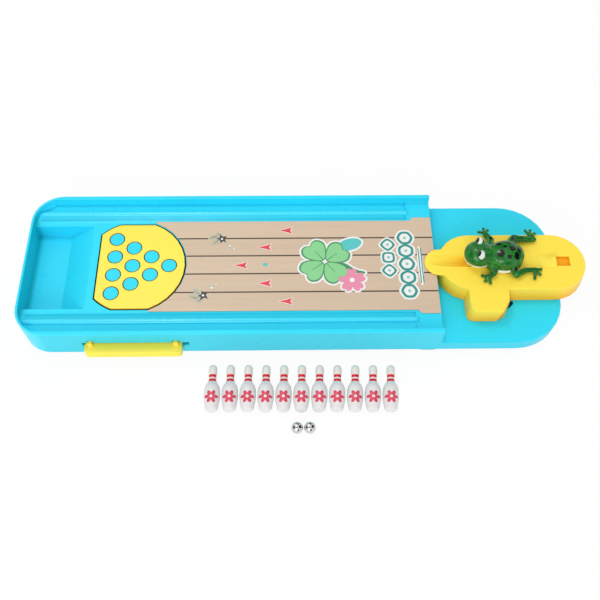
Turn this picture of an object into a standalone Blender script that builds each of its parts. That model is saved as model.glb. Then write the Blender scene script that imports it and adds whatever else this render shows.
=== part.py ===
"""Tabletop bowling game: tray, pin deck with its handle slide, swivelling launcher, pins and balls.

Metres, +Z up. X runs along the lane from the pin pit (-X) to the launcher (+X), Y across it.
The origin is the middle of the board, on the flat underside of the base cover. The feet reach
FOOT_HEIGHT below it, and the loose pins and balls lie on the table at that level.
"""
import math

import bmesh
import bpy
from mathutils import Matrix, Vector

# General clearances and wall thicknesses
FIT = 0.0003
SLACK = 0.0006
OVERRUN = 0.004
SHELL = 0.0018
SMALL_STEP = 0.0015

# Board: tray with the lane, and the lower launch pad behind it
BOARD_LENGTH = 0.3553
BOARD_WIDTH = 0.1072
PAD_LENGTH = 0.0831
CORNER_RADIUS = 0.020
PAD_RADIUS = 0.033
PAD_HEIGHT = 0.0090
RIM_HEIGHT = 0.0247
RIM_WIDTH = 0.0028
END_RIM_WIDTH = 0.0016
LANE_HEIGHT = 0.0192

# Lane bed, the slopes beside it and the gutters under the rims; borders are from the board's sides
LANE_BORDER = 0.0184
CREST_BORDER = 0.0123
CREST_RISE = 0.0015
CREST_FLAT = 0.0009
GUTTER_DROP = 0.0018
GUTTER_FLOOR = 0.0042
PLAIN_END_LENGTH = 0.0165
STICKER_THICKNESS = 0.0003
STICKER_END_BORDER = 0.0160
STICKER_FLARE = 0.0025
STICKER_MARGIN = 0.0004

# Pin pit
PIT_WIDTH = 0.0644
PIT_DEPTH = 0.0115
PIT_FLOOR_LENGTH = 0.0224
PIT_RAMP_LENGTH = 0.0183
RAMP_BACKING = 0.0030

# Pin places: a triangle of rows, four pins in the row next to the pit
PIN_PITCH = 0.014
PIN_ROWS = (4, 3, 2, 1)
FIRST_ROW_PLACE = 0.05835
HOLE_DIAMETER = 0.0105
PEG_DIAMETER = 0.0095
PEG_SINK = 0.0002

# Pin deck and the recess that it lies in
DECK_ROUND_BORDER = 0.0001
DECK_FLAT_BORDER = 0.0027
DECK_MARGIN = 0.0104
DECK_CENTRE = 0.0116
DECK_LEFT_SHIFT = 0.0029
DECK_THICKNESS = 0.0018
DECK_GAP = 0.0010
RECESS_DEPTH = 0.0045
RECESS_FLOOR = 0.0015
RECESS_SKIRT = 0.0016
LEG_WIDTH = 0.0030
LEG_LENGTH = 0.0030
LEG_PLACES_X = (-0.0077, 0.0333)
LEG_PLACES_Y = (-0.016, 0.014)

# Handle slide: pulling it by PULL raises the deck by LIFT
PULL = 0.0080
LIFT = 0.0034
SLIDE_CENTRE = 0.01635
SLIDE_TOP = 0.0118
SLIDE_THICKNESS = 0.0020
SLIDE_REACH = 0.030
WEDGE_WIDTH = 0.0030
WEDGE_TOE = 0.0004
WEDGE_MARGIN = 0.0005
BAR_LENGTH = 0.0618
BAR_DEPTH = 0.0066
BAR_HEIGHT = 0.0063
BAR_ROUND = 0.0015
BAR_END_ROUND = 0.0030
BAR_GAP = 0.0005
SLIT_LENGTH = 0.0678
SLIT_OFFSET = 0.0013
SLIT_DROP = 0.0014
RIB_SPACING = 0.0544
RIB_WIDTH = 0.0030
RIB_HEIGHT = 0.0032
RIB_STAND_OUT = 0.0020
RIB_LENGTH = 0.0110
STOP_LUG_LENGTH = 0.0020
STOP_LUG_DROP = 0.0012
STOP_RIB_WIDTH = 0.0015

# Base cover, its runners, screws and feet
COVER_THICKNESS = 0.0016
PANEL_LENGTH = 0.0600
PANEL_WIDTH = 0.0360
PANEL_ROUND = 0.0030
PANEL_GROOVE_WIDTH = 0.0008
PANEL_GROOVE_DEPTH = 0.0004
RUNNER_WIDTH = 0.0020
RUNNER_SPACING = 0.0380
RUNNER_LENGTH = 0.0815
GUIDE_WIDTH = 0.0018
BOSS_RADIUS = 0.0032
BOSS_LEFT_PLACES = (0.02965, 0.12965)
BOSS_STEP_PLACE = 0.04455
BOSS_PLACE_Y = 0.0400
PAD_BOSS_STEP_PLACE = 0.05545
PAD_BOSS_PLACE_Y = 0.0360
SCREW_RADIUS = 0.0010
PILOT_RADIUS = 0.0013
SCREW_HEAD_RADIUS = 0.0025
SCREW_HEAD_HEIGHT = 0.0013
SCREW_LENGTH = 0.0070
FOOT_LENGTH = 0.0140
FOOT_WIDTH = 0.0090
FOOT_ROUND = 0.0030
FOOT_HEIGHT = 0.0013
FOOT_LEFT_PLACE = 0.02665
FOOT_STEP_PLACE = 0.00755
FOOT_RIGHT_PLACE = 0.01465
FOOT_BORDERS = (0.0096, 0.0047, 0.0306)

# Launcher housing: round head, straight body, nose over the lane, aiming lobe
HEAD_RADIUS = 0.0211
DRAFT = 0.0014
SWIVEL_GAP = 0.0004
BODY_LENGTH = 0.0554
HOUSING_TOP = 0.0220
HOUSING_SHELL = 0.0016
NOSE_RADIUS = 0.0099
NOSE_REACH = 0.0208
NOSE_SLOPE_LENGTH = 0.0062
NOSE_SLOPE_DROP = 0.0013
LOBE_REACH = 0.0383
LOBE_ROUND = 0.0050
LOBE_ROOT = 0.0120

# Ball groove in the housing, from the ball's seat to the nose
GROOVE_RADIUS = 0.0042
GROOVE_BACK = 0.0002
GROOVE_FLOOR = 0.0158
GROOVE_RISE = 0.0048
GROOVE_RUN = 0.0227

# Swivel: spigot through the launch pad, and a guide spigot in an arc slot under the lobe
SWIVEL_ANGLE = 15.0
SPIGOT_RADIUS = 0.0040
GUIDE_RADIUS = 0.0353
GUIDE_ANGLE = -62.0
GUIDE_SPIGOT_RADIUS = 0.0019
ARC_SLOT_SPARE_ANGLE = 4.0
WASHER_RADIUS = 0.0065
GUIDE_WASHER_RADIUS = 0.0040
WASHER_THICKNESS = 0.0012
PAN_HEAD_RADIUS = 0.0024
PAN_HEAD_HEIGHT = 0.0014
BASE_THICKNESS = 0.0016
BASE_BOSS_RADIUS = 0.0028
BASE_BOSS_HEIGHT = 0.0025
POST_RADIUS = 0.0028
POST_PLACES = ((0.0060, 0.0155), (0.0587, 0.0130), (0.0587, -0.0130), (0.0045, -0.0310))
POST_SCREW_LENGTH = 0.0075

# Striker slide, its spring and the thumb rest that stands in the slot of the housing
DRAW = 0.0062
STRIKER_WIDTH = 0.0110
STRIKER_THICKNESS = 0.0020
STRIKER_FRONT = 0.0042
STRIKER_REAR = 0.0673
ROD_RADIUS = 0.0016
ROD_HEIGHT = 0.0182
ROD_TIP = -0.0020
SPRING_LUG_PLACE = 0.0227
SPRING_LUG_LENGTH = 0.0020
SPRING_LUG_WIDTH = 0.0062
SPRING_LUG_DROP = 0.0053
SPRING_LENGTH = 0.0174
SPRING_RADIUS = 0.0021
SPRING_WIRE_RADIUS = 0.00035
SPRING_TURNS = 8
SPRING_HEIGHT = 0.0146
SPRING_STOP_LENGTH = 0.0016
SPRING_STOP_HEIGHT = 0.0060
RAIL_PLACE = 0.0045
RAIL_WIDTH = 0.0014
THUMB_SLOT_START = 0.0461
THUMB_SLOT_WIDTH = 0.0076
THUMB_LENGTH = 0.0134
THUMB_WIDTH = 0.0070
THUMB_HEIGHT = 0.0068

# Frog figure on the housing
FROG_LENGTH = 0.0520
FROG_PLACE = 0.0135
FROG_VOXEL = 0.0008
FROG_KEEP_RATIO = 0.20
FROG_SCREW_PLACE_X = 0.0230
FROG_SCREW_PLACE_Y = 0.0083
FROG_SCREW_LENGTH = 0.0046

# Loose pins and balls on the table in front of the board
PIN_LENGTH = 0.0305
PIN_BELLY_RADIUS = 0.00515
PIN_COUNT = 11
PIN_SPACING = 0.01115
PIN_LINE_START = -0.0524
PIN_BASE_LINE = -0.0966
PIN_LINE_DRIFT = 0.00011
PIN_TURN_STEP = 0.4
BALL_RADIUS = 0.0037
BALL_COUNT = 2
BALL_SPACING = 0.00785
BALL_LINE_START = 0.0008
BALL_LINE = -0.1077

# Facet counts
CORNER_STEPS = 8
ARC_STEPS = 12
HOLE_SIDES = 20
SMALL_SIDES = 12
PIN_SIDES = 14

# Levels and places worked out from the sizes above
LEFT = -BOARD_LENGTH / 2
RIGHT = BOARD_LENGTH / 2
HALF_WIDTH = BOARD_WIDTH / 2
STEP_X = RIGHT - PAD_LENGTH
LANE_HALF = HALF_WIDTH - LANE_BORDER
CREST_HALF = HALF_WIDTH - CREST_BORDER
PLAY_HEIGHT = LANE_HEIGHT + FIT + STICKER_THICKNESS
FIRST_ROW_X = LEFT + FIRST_ROW_PLACE
ROW_STEP = PIN_PITCH * math.sin(math.radians(60))
DECK_X = FIRST_ROW_X + DECK_CENTRE
DECK_RADIUS = LANE_HALF - DECK_ROUND_BORDER
DECK_HALF = LANE_HALF - DECK_FLAT_BORDER
RECESS_TOP = LANE_HEIGHT - RECESS_DEPTH
SLIDE_X = FIRST_ROW_X + SLIDE_CENTRE
SLIDE_BOTTOM = SLIDE_TOP - SLIDE_THICKNESS
WEDGE_SLOPE = LIFT / PULL
WEDGE_LENGTH = LEG_LENGTH + PULL + 2 * WEDGE_MARGIN
TABLE_Z = -FOOT_HEIGHT
PIVOT_X = STEP_X + HEAD_RADIUS + DRAFT + SWIVEL_GAP
HOUSING_BOTTOM = PAD_HEIGHT + FIT
HOUSING_CEILING = HOUSING_TOP - SHELL
BASE_TOP = HOUSING_BOTTOM + BASE_THICKNESS
TAIL_X = PIVOT_X + BODY_LENGTH
THUMB_SLOT_LENGTH = THUMB_LENGTH + DRAW + 2 * FIT
STRIKER_TOP = HOUSING_CEILING - FIT
STRIKER_BOTTOM = STRIKER_TOP - STRIKER_THICKNESS
PAD_UNDERSIDE = PAD_HEIGHT - SHELL
SPIGOT_END = PAD_UNDERSIDE - FIT
GUIDE_X = PIVOT_X + GUIDE_RADIUS * math.cos(math.radians(GUIDE_ANGLE))
GUIDE_Y = GUIDE_RADIUS * math.sin(math.radians(GUIDE_ANGLE))

BLUE = (0.05, 0.66, 0.88)
YELLOW = (1.0, 0.80, 0.08)
ORANGE = (1.0, 0.42, 0.0)
GREEN = (0.03, 0.28, 0.05)
STEEL = (0.75, 0.75, 0.76)
RUBBER = (0.04, 0.45, 0.60)
WHITE = (0.90, 0.90, 0.89)
TAN = (0.66, 0.52, 0.38)


def clear_scene():
    for obj in list(bpy.data.objects):
        bpy.data.objects.remove(obj, do_unlink=True)


def material(name, colour, roughness, metallic=0.0):
    mat = bpy.data.materials.new(name)
    mat.use_nodes = True
    shader = mat.node_tree.nodes["Principled BSDF"]
    shader.inputs["Base Color"].default_value = (*colour, 1.0)
    shader.inputs["Roughness"].default_value = roughness
    shader.inputs["Metallic"].default_value = metallic
    return mat


def solid(name, verts, faces):
    """A closed mesh object from points and faces, with its faces turned outwards."""
    bm = bmesh.new()
    made = [bm.verts.new(v) for v in verts]
    for face in faces:
        bm.faces.new([made[i] for i in face])
    bmesh.ops.recalc_face_normals(bm, faces=bm.faces)
    mesh = bpy.data.meshes.new(name)
    bm.to_mesh(mesh)
    bm.free()
    obj = bpy.data.objects.new(name, mesh)
    bpy.context.collection.objects.link(obj)
    return obj


def loft(name, low, high, bottom, top):
    """A solid between two outlines with equally many points, at the heights bottom and top."""
    count = len(low)
    verts = [(x, y, bottom) for x, y in low] + [(x, y, top) for x, y in high]
    faces = [tuple(range(count - 1, -1, -1)), tuple(range(count, 2 * count))]
    faces += [(i, (i + 1) % count, count + (i + 1) % count, count + i) for i in range(count)]
    return solid(name, verts, faces)


def prism(name, outline, bottom, top):
    return loft(name, outline, outline, bottom, top)


def bake(obj, matrix):
    obj.data.transform(matrix)
    if matrix.determinant() < 0:
        obj.data.flip_normals()
    return obj


def along_x(name, section, start, end):
    """A bar along X whose section is given as (y, z) points."""
    turn = Matrix(((0, 0, 1, 0), (1, 0, 0, 0), (0, 1, 0, 0), (0, 0, 0, 1)))
    return bake(prism(name, section, start, end), turn)


def along_y(name, section, start, end):
    """A bar along Y whose section is given as (x, z) points."""
    turn = Matrix(((1, 0, 0, 0), (0, 0, 1, 0), (0, 1, 0, 0), (0, 0, 0, 1)))
    return bake(prism(name, section, start, end), turn)


def box(name, low, high):
    outline = [(low[0], low[1]), (high[0], low[1]), (high[0], high[1]), (low[0], high[1])]
    return prism(name, outline, low[2], high[2])


def arc(centre, radius, start, end, steps):
    points = []
    for i in range(steps + 1):
        angle = math.radians(start + (end - start) * i / steps)
        points.append((centre[0] + radius * math.cos(angle), centre[1] + radius * math.sin(angle)))
    return points


def circle(centre, radius, sides):
    return arc(centre, radius, 0, 360, sides)[:-1]


def disc(name, centre, radius, bottom, top, sides=SMALL_SIDES):
    return prism(name, circle(centre, radius, sides), bottom, top)


def rounded_outline(low, high, radius):
    """A rectangle between two (x, y) corners, with all its corners rounded."""
    left, right = low[0] + radius, high[0] - radius
    near, far = low[1] + radius, high[1] - radius
    return (arc((right, far), radius, 0, 90, CORNER_STEPS) + arc((left, far), radius, 90, 180, CORNER_STEPS)
            + arc((left, near), radius, 180, 270, CORNER_STEPS)
            + arc((right, near), radius, 270, 360, CORNER_STEPS))


def stadium(start, end, radius, steps=ARC_STEPS):
    """Outline round two equal circles on the X axis."""
    return arc((end, 0), radius, -90, 90, steps) + arc((start, 0), radius, 90, 270, steps)


def turned(name, profile, sides):
    """A solid turned about Z from (radius, z) points that run up from the axis to the axis."""
    verts = []
    rings = []
    for radius, z in profile:
        if radius == 0:
            rings.append([len(verts)])
            verts.append((0, 0, z))
        else:
            rings.append(list(range(len(verts), len(verts) + sides)))
            verts += [(x, y, z) for x, y in circle((0, 0), radius, sides)]
    faces = []
    for low, high in zip(rings, rings[1:]):
        for i in range(sides):
            j = (i + 1) % sides
            if len(low) == 1:
                faces.append((low[0], high[j], high[i]))
            elif len(high) == 1:
                faces.append((low[i], low[j], high[0]))
            else:
                faces.append((low[i], low[j], high[j], high[i]))
    return solid(name, verts, faces)


def boolean(target, tools, operation):
    """Apply Boolean steps with the tools, one after the other, and remove the tools."""
    for tool in tools:
        step = target.modifiers.new(operation, "BOOLEAN")
        step.operation = operation
        step.object = tool
    bpy.context.view_layer.update()
    evaluated = target.evaluated_get(bpy.context.evaluated_depsgraph_get())
    mesh = bpy.data.meshes.new_from_object(evaluated)
    target.modifiers.clear()
    target.data = mesh
    for tool in tools:
        bpy.data.objects.remove(tool, do_unlink=True)
    return target


def cut(target, *tools):
    return boolean(target, tools, "DIFFERENCE")


def join(target, *tools):
    return boolean(target, tools, "UNION")


def common(target, *tools):
    return boolean(target, tools, "INTERSECT")


def finish(obj, mat, origin=(0, 0, 0), smooth=True):
    """Give a piece its material and put its origin on its joint or seat."""
    shift = Vector(origin)
    obj.data.transform(Matrix.Translation(-shift))
    obj.location = shift
    obj.data.materials.clear()
    obj.data.materials.append(mat)
    if smooth:
        obj.data.shade_smooth()
        obj.data.set_sharp_from_angle(angle=math.radians(35))
    return obj


def board_outline(inset):
    corner = CORNER_RADIUS - inset
    pad = PAD_RADIUS - inset
    half = HALF_WIDTH - inset
    left = LEFT + inset
    right = RIGHT - inset
    return (arc((right - pad, half - pad), pad, 0, 90, CORNER_STEPS)
            + arc((left + corner, half - corner), corner, 90, 180, CORNER_STEPS)
            + arc((left + corner, corner - half), corner, 180, 270, CORNER_STEPS)
            + arc((right - pad, pad - half), pad, 270, 360, CORNER_STEPS))


def deck_outline(grow):
    """Round ends joined by two flats along the lane, cut straight next to the pit."""
    radius = DECK_RADIUS + grow
    flat = math.degrees(math.asin((DECK_HALF + grow) / radius))
    side = math.degrees(math.acos(-(DECK_CENTRE + DECK_LEFT_SHIFT + DECK_MARGIN + grow) / radius))
    left_centre = (DECK_X + DECK_LEFT_SHIFT, 0)
    return (arc((DECK_X, 0), radius, -flat, flat, ARC_STEPS)
            + arc(left_centre, radius, 180 - flat, side, CORNER_STEPS // 2)
            + arc(left_centre, radius, -side, flat - 180, CORNER_STEPS // 2))


def pin_places():
    for row, count in enumerate(PIN_ROWS):
        for place in range(count):
            yield FIRST_ROW_X + row * ROW_STEP, (place - (count - 1) / 2) * PIN_PITCH


def leg_places():
    return [(FIRST_ROW_X + x, y) for x in LEG_PLACES_X for y in LEG_PLACES_Y]


def boss_places():
    sides = (-1, 1)
    along = [LEFT + x for x in BOSS_LEFT_PLACES] + [STEP_X - BOSS_STEP_PLACE]
    tray = [(x, side * BOSS_PLACE_Y) for x in along for side in sides]
    return tray + [(STEP_X + PAD_BOSS_STEP_PLACE, side * PAD_BOSS_PLACE_Y) for side in sides]


def foot_places():
    along = (LEFT + FOOT_LEFT_PLACE, STEP_X - FOOT_STEP_PLACE, RIGHT - FOOT_RIGHT_PLACE)
    return [(x, side * (HALF_WIDTH - border)) for x, border in zip(along, FOOT_BORDERS) for side in (-1, 1)]


def mirrored(half):
    """A closed section from its right half, whose points run away from the middle."""
    return half + [(-y, z) for y, z in reversed(half)]


def ramp_line(back):
    """The pit's floor and ramp, moved out by a backing thickness, as (x, z) points."""
    start = LEFT + END_RIM_WIDTH
    floor = LANE_HEIGHT - PIT_DEPTH
    depth = SHELL if back else 0
    foot = start + PIT_FLOOR_LENGTH + back
    return [(start, floor - depth), (foot, floor - depth), (foot + PIT_RAMP_LENGTH, LANE_HEIGHT)]


def slot_along_y(name, x, near, far, width, bottom, top):
    return box(name, (x - width / 2, near, bottom), (x + width / 2, far, top))


def arc_slot(name, radius, half_width, angle, half_angle, bottom, top):
    """A slot bent round the pivot, with round ends."""
    low, high = angle - half_angle, angle + half_angle
    centre = (PIVOT_X, 0)
    ends = []
    for end in (low, high):
        turn = math.radians(end)
        ends.append((PIVOT_X + radius * math.cos(turn), radius * math.sin(turn)))
    outline = (arc(centre, radius + half_width, low, high, ARC_STEPS)
               + arc(ends[1], half_width, high, high + 180, CORNER_STEPS)[1:-1]
               + arc(centre, radius - half_width, high, low, ARC_STEPS)
               + arc(ends[0], half_width, low + 180, low + 360, CORNER_STEPS)[1:-1])
    return prism(name, outline, bottom, top)


def channel_cutter():
    """What is taken out above the lane: bed, side slopes and gutters."""
    top = RIM_HEIGHT + OVERRUN
    inner = HALF_WIDTH - RIM_WIDTH
    gutter = LANE_HEIGHT - GUTTER_DROP
    crest = LANE_HEIGHT + CREST_RISE
    half = [(LANE_HALF, LANE_HEIGHT),
            (CREST_HALF, crest),
            (CREST_HALF + CREST_FLAT, crest),
            (inner - GUTTER_FLOOR, gutter),
            (inner, gutter),
            (inner, top)]
    section = along_x("section", mirrored(half), LEFT, STEP_X - PLAIN_END_LENGTH)
    plan = prism("plan", board_outline(END_RIM_WIDTH), 0, top)
    return common(section, plan)


def plain_end_cutter():
    inner = HALF_WIDTH - RIM_WIDTH
    low = (STEP_X - PLAIN_END_LENGTH - SMALL_STEP, -inner, LANE_HEIGHT)
    return box("plain_end", low, (STEP_X + OVERRUN, inner, RIM_HEIGHT + OVERRUN))


def pit_cutter():
    top = RIM_HEIGHT + OVERRUN
    line = ramp_line(0)
    section = line + [(line[-1][0], top), (line[0][0], top)]
    return along_y("pit", section, -PIT_WIDTH / 2, PIT_WIDTH / 2)


def underside_cutter():
    """The hollow under the tray and the pad, which leaves the shells of all that hangs in it."""
    inner = HALF_WIDTH - SHELL
    gutter = LANE_HEIGHT - GUTTER_DROP - SHELL
    bed = LANE_HEIGHT - SHELL
    knee = HALF_WIDTH - RIM_WIDTH - GUTTER_FLOOR - SHELL
    half = [(knee - SHELL, bed), (knee, gutter), (inner, gutter), (inner, -OVERRUN)]
    tray = along_x("tray_hollow", mirrored(half), LEFT, STEP_X - SHELL)
    tray = common(tray, prism("plan", board_outline(SHELL), -OVERRUN - FIT, RIM_HEIGHT))
    hollow = join(tray, prism("pad_hollow", board_outline(SHELL), -OVERRUN - FIT, PAD_UNDERSIDE))
    line = ramp_line(RAMP_BACKING)
    pit = [(LEFT - OVERRUN, line[0][1]), line[1], line[2],
           (line[2][0], BOARD_WIDTH), (LEFT - OVERRUN, BOARD_WIDTH)]
    pit_body = along_y("pit_body", pit, -PIT_WIDTH / 2 - SHELL, PIT_WIDTH / 2 + SHELL)
    recess = prism("recess_body", deck_outline(DECK_GAP + RECESS_SKIRT),
                   RECESS_TOP - RECESS_FLOOR, BOARD_WIDTH)
    hollow = cut(hollow, pit_body, recess)
    bosses = [disc("boss", place, BOSS_RADIUS, COVER_THICKNESS + FIT, BOARD_WIDTH)
              for place in boss_places()]
    return cut(hollow, *bosses)


def make_tray(mat):
    tray = prism("tray", board_outline(0), 0, RIM_HEIGHT)
    above_pad = box("above_pad", (STEP_X, -BOARD_WIDTH, PAD_HEIGHT), (BOARD_LENGTH, BOARD_WIDTH, BOARD_WIDTH))
    tray = cut(tray, above_pad, channel_cutter(), plain_end_cutter(), pit_cutter())
    recess = prism("recess", deck_outline(DECK_GAP), RECESS_TOP, RIM_HEIGHT)
    tray = cut(tray, recess, underside_cutter())
    pegs = [disc("peg", place, PEG_DIAMETER / 2, RECESS_TOP - RECESS_FLOOR / 2,
                 PLAY_HEIGHT - PEG_SINK, HOLE_SIDES) for place in pin_places()]
    tray = join(tray, *pegs)
    cuts = [slot_along_y("leg_slot", x, y - LEG_LENGTH / 2 - PULL + SMALL_STEP / 2,
                         y + LEG_LENGTH / 2 + PULL + SMALL_STEP / 2 + WEDGE_MARGIN,
                         LEG_WIDTH + 2 * SLACK + FIT, 0, RECESS_TOP + OVERRUN / 4)
            for x, y in leg_places()]
    wall = (-HALF_WIDTH - OVERRUN, -HALF_WIDTH + OVERRUN)
    slit_x = SLIDE_X + SLIT_OFFSET
    cuts.append(box("slit", (slit_x - SLIT_LENGTH / 2, wall[0], SLIDE_BOTTOM - SLIT_DROP),
                    (slit_x + SLIT_LENGTH / 2, wall[1], SLIDE_TOP + SLACK)))
    for x in rib_places():
        cuts.append(box("notch", (x - RIB_WIDTH / 2 - SLACK, wall[0], SLIDE_BOTTOM),
                        (x + RIB_WIDTH / 2 + SLACK, wall[1], SLIDE_TOP + RIB_HEIGHT + FIT)))
    cuts.append(disc("pivot_hole", (PIVOT_X, 0), SPIGOT_RADIUS + FIT, 0, RIM_HEIGHT, HOLE_SIDES))
    cuts.append(arc_slot("arc_slot", GUIDE_RADIUS, GUIDE_SPIGOT_RADIUS + FIT, GUIDE_ANGLE,
                         SWIVEL_ANGLE + ARC_SLOT_SPARE_ANGLE, 0, RIM_HEIGHT))
    cuts += [disc("pilot", place, PILOT_RADIUS, 0, SCREW_LENGTH + FIT)
             for place in boss_places()]
    return finish(cut(tray, *cuts), mat)


def make_lane_sticker(mat):
    """Thin sheet on the lane bed; its left end follows the recess, its right end is wider."""
    half = LANE_HALF - STICKER_MARGIN / 2
    wide = HALF_WIDTH - STICKER_END_BORDER
    radius = DECK_RADIUS + DECK_GAP + STICKER_MARGIN
    widening = STEP_X - PLAIN_END_LENGTH + SMALL_STEP
    end = STEP_X - STICKER_MARGIN
    corner = half - SMALL_STEP
    angle = math.degrees(math.asin(corner / radius))
    left = DECK_X + radius * math.cos(math.radians(angle))
    outline = [(left - SMALL_STEP, -half), (widening, -half), (widening + STICKER_FLARE, -wide),
               (end, -wide), (end, wide), (widening + STICKER_FLARE, wide), (widening, half),
               (left - SMALL_STEP, half)]
    outline += arc((DECK_X, 0), radius, angle, -angle, ARC_STEPS)
    bottom = LANE_HEIGHT + FIT
    return finish(prism("lane_sticker", outline, bottom, bottom + STICKER_THICKNESS), mat)


def slanted_top(name, x, width, near, far, bottom, low, slope):
    """A block whose top, or bottom for a leg, rises towards +Y from the height low."""
    high = low + slope * (far - near)
    section = [(near, bottom), (far, bottom), (far, high), (near, low)]
    return along_x(name, section, x - width / 2, x + width / 2)


def make_pin_deck(mat):
    deck = prism("pin_deck", deck_outline(0), PLAY_HEIGHT - DECK_THICKNESS, PLAY_HEIGHT)
    holes = [disc("hole", place, HOLE_DIAMETER / 2, 0, RIM_HEIGHT, HOLE_SIDES) for place in pin_places()]
    deck = cut(deck, *holes)
    toe = SLIDE_TOP + WEDGE_TOE + WEDGE_SLOPE * WEDGE_MARGIN + FIT
    legs = [slanted_top("leg", x, LEG_WIDTH, y - LEG_LENGTH / 2, y + LEG_LENGTH / 2,
                        PLAY_HEIGHT - DECK_THICKNESS / 2, toe, WEDGE_SLOPE) for x, y in leg_places()]
    return finish(join(deck, *legs), mat)


def rib_places():
    return (SLIDE_X - RIB_SPACING / 2, SLIDE_X + RIB_SPACING / 2)


def make_handle_slide(mat):
    half = BAR_LENGTH / 2
    bar_inner = -HALF_WIDTH - BAR_GAP
    slide = box("handle_slide", (SLIDE_X - half, bar_inner - BAR_DEPTH / 2, SLIDE_BOTTOM),
                (SLIDE_X + half, SLIDE_REACH, SLIDE_TOP))
    outer = bar_inner - BAR_DEPTH
    low = SLIDE_TOP - BAR_HEIGHT
    section = [(bar_inner, low), (bar_inner, SLIDE_TOP)]
    section += arc((outer + BAR_ROUND, SLIDE_TOP - BAR_ROUND), BAR_ROUND, 90, 180, CORNER_STEPS // 2)
    section += arc((outer + BAR_ROUND, low + BAR_ROUND), BAR_ROUND, 180, 270, CORNER_STEPS // 2)
    bar = along_x("bar", section, SLIDE_X - half, SLIDE_X + half)
    plan = rounded_outline((SLIDE_X - half, outer), (SLIDE_X + half, bar_inner + OVERRUN), BAR_END_ROUND)
    bar = common(bar, prism("bar_plan", plan, 0, RIM_HEIGHT))
    rib_end = -HALF_WIDTH - RIB_STAND_OUT
    ribs = [box("rib", (x - RIB_WIDTH / 2, rib_end, SLIDE_BOTTOM),
                (x + RIB_WIDTH / 2, rib_end + RIB_LENGTH, SLIDE_TOP + RIB_HEIGHT)) for x in rib_places()]
    wedges = []
    for x, y in leg_places():
        near = y - LEG_LENGTH / 2 - WEDGE_MARGIN
        wedges.append(slanted_top("wedge", x, WEDGE_WIDTH, near, near + WEDGE_LENGTH,
                                  SLIDE_TOP - SLIDE_THICKNESS / 2, SLIDE_TOP + WEDGE_TOE, WEDGE_SLOPE))
    lug = box("stop_lug", (SLIDE_X - RUNNER_SPACING / 4, SLIDE_REACH - STOP_LUG_LENGTH,
                           SLIDE_BOTTOM - STOP_LUG_DROP),
              (SLIDE_X + RUNNER_SPACING / 4, SLIDE_REACH, SLIDE_BOTTOM + SLIDE_THICKNESS / 2))
    return finish(join(slide, bar, *ribs, *wedges, lug), mat)


def panel_outline(grow):
    half_length, half_width = PANEL_LENGTH / 2 + grow, PANEL_WIDTH / 2 + grow
    return rounded_outline((-half_length, -half_width), (half_length, half_width), PANEL_ROUND + grow)


def make_base_cover(mat):
    cover = prism("base_cover", board_outline(SHELL + FIT), 0, COVER_THICKNESS)
    # A shallow groove frames the flat panel round the origin
    groove = cut(prism("groove", panel_outline(PANEL_GROOVE_WIDTH), -OVERRUN, PANEL_GROOVE_DEPTH),
                 prism("panel", panel_outline(0), -OVERRUN - FIT, PANEL_GROOVE_DEPTH + FIT))
    cover = cut(cover, groove)
    far = SLIDE_REACH + SLACK
    near = far - RUNNER_LENGTH
    bottom = COVER_THICKNESS / 2
    adds = []
    for side in (-1, 1):
        adds.append(slot_along_y("runner", SLIDE_X + side * RUNNER_SPACING / 2, near, far,
                                 RUNNER_WIDTH, bottom, SLIDE_BOTTOM - FIT))
        guide = SLIDE_X + side * (BAR_LENGTH / 2 + FIT + GUIDE_WIDTH / 2)
        adds.append(slot_along_y("guide", guide, near, far, GUIDE_WIDTH, bottom, SLIDE_TOP))
    stop_far = SLIDE_REACH - STOP_LUG_LENGTH - PULL - FIT
    adds.append(box("stop_rib", (SLIDE_X - RUNNER_SPACING / 2, stop_far - STOP_RIB_WIDTH, bottom),
                    (SLIDE_X + RUNNER_SPACING / 2, stop_far, SLIDE_BOTTOM - FIT)))
    cover = join(cover, *adds)
    sinks = []
    for x, y in boss_places():
        profile = [(0, -FIT), (SCREW_HEAD_RADIUS + FIT, -FIT), (SCREW_HEAD_RADIUS + FIT, FIT),
                   (PILOT_RADIUS, FIT + SCREW_HEAD_HEIGHT), (PILOT_RADIUS, COVER_THICKNESS + FIT),
                   (0, COVER_THICKNESS + FIT)]
        sink = turned("sink", profile, SMALL_SIDES)
        sinks.append(bake(sink, Matrix.Translation((x, y, 0))))
    return finish(cut(cover, *sinks), mat)


def make_base_screws(mat):
    """Countersunk screws that come up through the base cover into the tray's bosses."""
    low = FIT
    profile = [(0, low), (SCREW_HEAD_RADIUS, low), (SCREW_RADIUS, low + SCREW_HEAD_HEIGHT),
               (SCREW_RADIUS, SCREW_LENGTH - SCREW_RADIUS), (0, SCREW_LENGTH)]
    for i, place in enumerate(boss_places()):
        screw = turned(f"base_screw_{i + 1}", profile, SMALL_SIDES)
        finish(bake(screw, Matrix.Translation((*place, 0))), mat, (*place, low))


def pan_screw(name, place, head_top, length):
    """A screw from below: the head ends at head_top, the shank runs up by length."""
    low = head_top - PAN_HEAD_HEIGHT
    profile = [(0, low), (PAN_HEAD_RADIUS - PAN_HEAD_HEIGHT / 2, low),
               (PAN_HEAD_RADIUS, low + PAN_HEAD_HEIGHT / 2), (PAN_HEAD_RADIUS, head_top),
               (SCREW_RADIUS, head_top), (SCREW_RADIUS, head_top + length - SCREW_RADIUS),
               (0, head_top + length)]
    return bake(turned(name, profile, SMALL_SIDES), Matrix.Translation((*place, 0)))


def make_feet(mat):
    for i, (x, y) in enumerate(foot_places()):
        outline = rounded_outline((x - FOOT_LENGTH / 2, y - FOOT_WIDTH / 2),
                                  (x + FOOT_LENGTH / 2, y + FOOT_WIDTH / 2), FOOT_ROUND)
        finish(prism(f"foot_{i + 1}", outline, TABLE_Z, -FIT), mat, (x, y, -FIT))


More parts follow.
